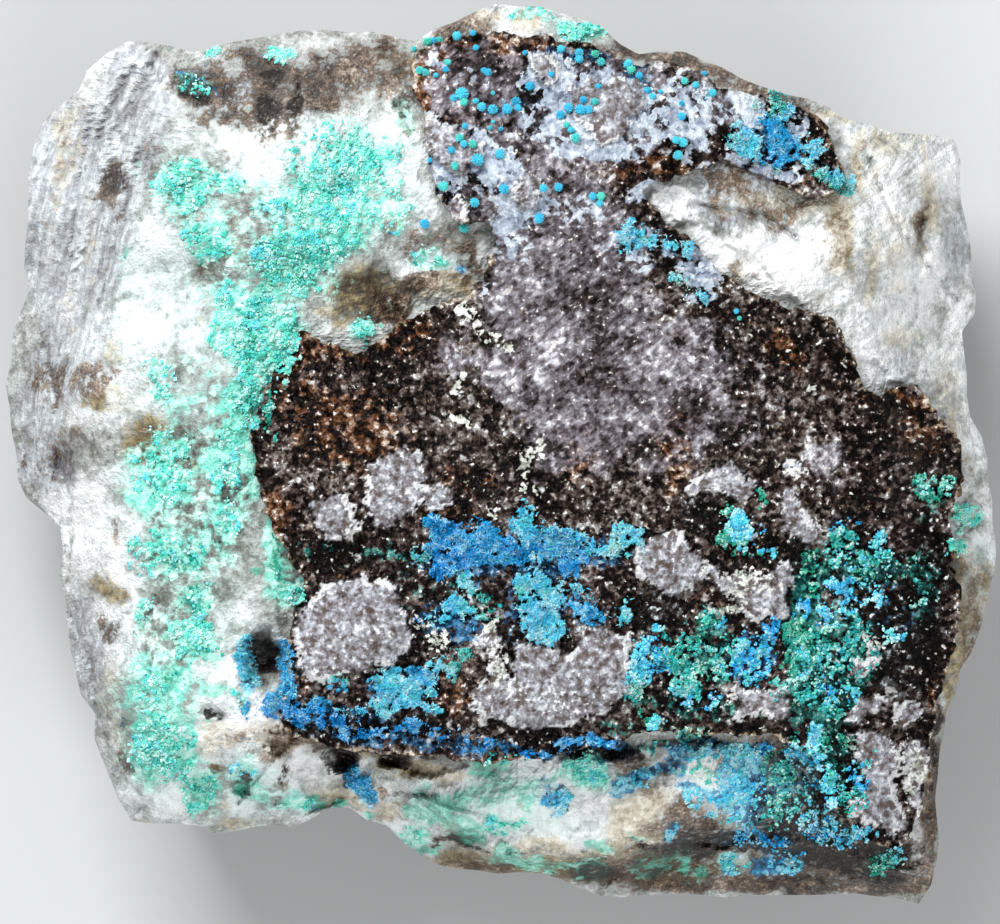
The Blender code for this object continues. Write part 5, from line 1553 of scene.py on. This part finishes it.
def crowd(blots, spacing, seed):
    """Places at random where the blots' clumps are, about one a square of the spacing."""
    rows = np.array(blots, float)
    middles, halves = rows[:, :2], BLOT_REACH * rows[:, 2:4]
    low, high = (middles - halves).min(0), (middles + halves).max(0)
    generator = np.random.default_rng(seed)
    count = int(np.prod(high - low) * (UNIT / spacing) ** 2)
    places = np.column_stack([placed(generator.uniform(low, high, (count, 2))), np.zeros(count)])
    cover = blotted(wandered(places), blots, 0.5)
    places, cover = places[cover > 0.12], cover[cover > 0.12]
    chance = generator.uniform(0, 1, len(cover))
    return places[(clumped(places, cover) > 0.15 + 0.7 * chance) | (chance < 0.04)]


def random_turns(count, generator, upright):
    """Rotation matrices that turn each copy's z axis at random, mostly up where it is to be upright."""
    z = generator.normal(size=(count, 3))
    if upright:
        z[:, 2] = abs(z[:, 2]) + 0.5
    x = np.cross(z, generator.normal(size=(count, 3)))
    z /= np.linalg.norm(z, axis=1)[:, None]
    x /= np.linalg.norm(x, axis=1)[:, None]
    return np.stack([x, np.cross(z, x), z], axis=2)


def tiled(name, shape, centres, sizes, hues, tones, seed, uneven=0.45):
    """One mesh of many copies of a shape, turned at random and painted."""
    points, triangles = shape
    generator = np.random.default_rng(seed)
    count = len(centres)
    squeezed = points[None] * generator.uniform(1 - uneven, 1 + uneven, (count, 1, 3))
    turned = np.einsum("nij,npj->npi", random_turns(count, generator, shape is NEEDLE), squeezed)
    all_points = turned * sizes[:, None, None] + centres[:, None]
    all_triangles = triangles[None] + len(points) * np.arange(count)[:, None, None]
    mesh = bpy.data.meshes.new(name)
    mesh.from_pydata(all_points.reshape(-1, 3), [], all_triangles.reshape(-1, 3))
    reach = np.linalg.norm(points, axis=1)
    reach = (reach - reach.min()) / np.ptp(reach)
    paint(mesh, "hue", np.repeat(hues, len(points)))
    # Painted light: each copy is painted lighter towards its far ends, such as a needle's tip or a ball's
    # spikes, and darker at its foot.
    paint(mesh, "tone", (tones[:, None] + 0.5 * reach - 0.25).ravel())
    return mesh


# %% Grow the crystals
SPACING = {"needles": 0.085, "grains": 0.12}
LENGTH = {"needles": 0.24, "grains": 0.2}
# Each hue's mean tone and its swing; the tone sets the crystals' painted light and shade.
TONES = {TURQUOISE: (0.9, 0.7), SKY: (0.88, 0.9), JADE: (0.8, 0.7)}


def grow(name, groups, seed):
    kind = name.split("_")[1]
    spacing, length = SPACING[kind] * MM, LENGTH[kind] * MM
    centres, sizes, hues, tones = [], [], [], []
    for hue, blots in groups:
        seed += 1
        generator = np.random.default_rng(seed)
        places = crowd(blots, spacing, seed)
        places[:, 2] = [ground_at(x, y) for x, y, _ in places]
        places = places[np.isfinite(places[:, 2])]
        count = len(places)
        centres.append(places + (0, 0, 0.05 * length))
        sizes.append(length * generator.uniform(0.5, 1.4, count))
        hues.append(hue + generator.normal(0, 0.05, count) + 0.2 * rough(places, 0.0014, seed))
        # Painted light and shade: the tone rises and falls in clumps, so that bright crystals stand among
        # darker ones.
        clumps = 0.9 * rough(places, 0.0009, seed + 9) + 0.5 * rough(places, 0.0004, seed + 19)
        lit, contrast = TONES.get(hue, (0.68, 1.0))
        tone = lit + contrast * (clumps + generator.uniform(-0.25, 0.25, count))
        tones.append(np.maximum(tone, lit - 0.5))
    shape = NEEDLE if kind == "needles" else GRAIN
    return tiled(name, shape, *[np.concatenate(part) for part in (centres, sizes, hues, tones)], seed)


def crystals(name):
    growth = Finish(name)
    grain = growth.noise(0.2, 1, 21)
    # The painted tone gives each crystal its painted shade and highlight, broken by fine noise.
    base = growth.velvet(growth.painted("tone") + 0.15 * grain)
    return growth.finish(base, 0.5 + 0.1 * grain, None, 0.2)


FINISHES = {"blue_crystals": crystals("blue_crystals"), "green_crystals": crystals("green_crystals")}
for number, (name, (node, groups)) in enumerate(CRYSTALS.items()):
    slot = "blue_crystals" if name.endswith("needles") else "green_crystals"
    crystal_mesh = grow(name, groups, 100 * (number + 1))
    crystal_mesh.materials.append(FINISHES[slot])
    piece = new_piece(name, crystal_mesh)
    if node:
        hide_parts(node)
    print(name, len(crystal_mesh.polygons), "faces")

# %% [markdown]
# ## Single balls
# On the upper part the cyanotrichite is in single tufts: neat little balls of needles, each about as big as a
# grain of sugar, bright cyan on top and deep blue in their own shadow.

# %% Balls: x and y on the sheet, diameter on the sheet
BALL_PLACES = [
    (457, 37, 10), (439, 41, 9), (414, 50, 7), (473, 34, 7), (476, 49, 7), (448, 64, 8), (446, 71, 7),
    (420, 72, 9), (426, 74, 9), (436, 77, 6), (488, 74, 9), (484, 72, 7), (525, 54, 6), (561, 50, 9),
    (579, 54, 10), (579, 60, 10), (595, 55, 9), (601, 63, 9), (628, 65, 11), (631, 71, 10), (639, 77, 9),
    (647, 92, 9), (652, 98, 8), (530, 88, 10), (551, 76, 7), (462, 96, 15), (454, 100, 8), (464, 104, 9),
    (476, 103, 7), (482, 109, 10), (493, 112, 11), (507, 111, 11), (516, 104, 11), (518, 110, 8),
    (493, 95, 5), (560, 117, 10), (568, 110, 11), (583, 102, 9), (594, 104, 9), (580, 112, 12),
    (588, 112, 10), (566, 127, 8), (571, 132, 8), (575, 140, 10), (490, 130, 5), (493, 124, 5), (501, 131, 5),
    (500, 156, 11), (464, 146, 8), (444, 188, 11), (504, 191, 11), (475, 204, 11), (539, 220, 11),
    (558, 189, 10), (543, 190, 9), (425, 225, 10), (464, 229, 11), (592, 198, 9), (600, 198, 9),
    (599, 205, 8), (675, 142, 9), (682, 144, 10), (677, 157, 10), (681, 118, 9), (681, 105, 7), (430, 162, 6),
    (660, 93, 6), (704, 74, 7), (428, 42, 10), (433, 42, 9), (712, 94, 9), (598, 88, 7), (684, 82, 8),
    (695, 86, 8), (452, 152, 8), (460, 140, 9), (473, 146, 9), (455, 168, 9), (478, 162, 14), (465, 128, 7),
    (735, 312, 6), (738, 319, 5),
]
generator = np.random.default_rng(7)
ball_sheet = np.array(BALL_PLACES, float)
ball_sizes = 0.9 * ball_sheet[:, 2] * UNIT
ball_centres = np.column_stack([placed(ball_sheet[:, :2]), np.zeros(len(ball_sheet))])
ball_centres[:, 2] = [ground_at(x, y) for x, y, _ in ball_centres] + 0.28 * ball_sizes
ball_hues = 0.32 + 0.28 * generator.uniform(0, 1, len(ball_sheet)) ** 2
ball_tones = generator.uniform(0.5, 0.75, len(ball_sheet))
ball_mesh = tiled("cyanotrichite_balls", BALL, ball_centres, ball_sizes, ball_hues, ball_tones, 8, 0.08)
ball_mesh.materials.append(FINISHES["blue_crystals"])
cyanotrichite_balls = new_piece("cyanotrichite_balls", ball_mesh)
print("balls", len(BALL_PLACES))

# %% [markdown]
# ## Camera, light and floor
# The specimen lies down, so the camera looks straight down on it from far away through a long lens, which
# keeps the sides out of sight. A broad soft light from behind its top edge rakes over the face, so that every
# ledge throws a soft shadow downwards, and a weaker one from the front opens the shadows.

# %% Camera
VIEW_WIDTH = 1000 * UNIT
VIEW_MIDDLE = placed([(500, 462)])[0]
CAMERA_HEIGHT = 1.3
FOCUS_HEIGHT = 0.019
SENSOR = 36.0
camera_data = bpy.data.cameras.new("camera")
camera_data.sensor_width = SENSOR
camera_data.lens = SENSOR * (CAMERA_HEIGHT - FOCUS_HEIGHT) / VIEW_WIDTH
camera = bpy.data.objects.new("camera", camera_data)
camera.location = (VIEW_MIDDLE[0], VIEW_MIDDLE[1], CAMERA_HEIGHT)
bpy.context.scene.collection.objects.link(camera)
bpy.context.scene.camera = camera
print("lens", round(camera_data.lens), "mm")


# %% Lights
def area_light(name, place, size, power, colour=(1, 1, 1)):
    """A square soft light that faces the specimen."""
    lamp = bpy.data.lights.new(name, "AREA")
    lamp.size = size
    lamp.energy = power
    lamp.color = colour
    holder = bpy.data.objects.new(name, lamp)
    holder.location = place
    holder.rotation_euler = (Vector((0, 0, 0.02)) - Vector(place)).to_track_quat("-Z", "Y").to_euler()
    bpy.context.scene.collection.objects.link(holder)


area_light("window", (-0.2, 0.38, 0.44), 0.34, 4.6)
area_light("fill", (0.2, -0.42, 0.4), 0.5, 2.2)
world = bpy.data.worlds.new("studio")
world.use_nodes = True
world.node_tree.nodes["Background"].inputs["Color"].default_value = (1, 1, 1, 1)
world.node_tree.nodes["Background"].inputs["Strength"].default_value = 0.31
bpy.context.scene.world = world
bpy.context.scene.view_settings.view_transform = "Standard"
# One bounce is enough for light on an open, matt stone.
bpy.context.scene.cycles.max_bounces = 1

# %% Floor
floor_bm = bmesh.new()
bmesh.ops.create_grid(floor_bm, x_segments=1, y_segments=1, size=1.5)
floor_mesh = bpy.data.meshes.new("floor")
floor_bm.to_mesh(floor_mesh)
floor_bm.free()
floor_finish = Finish("pale_floor")
floor_mesh.materials.append(floor_finish.finish(colour("#C9CBCC"), 0.8, specular=0.2))
floor = bpy.data.objects.new("floor", floor_mesh)
bpy.context.scene.collection.objects.link(floor)
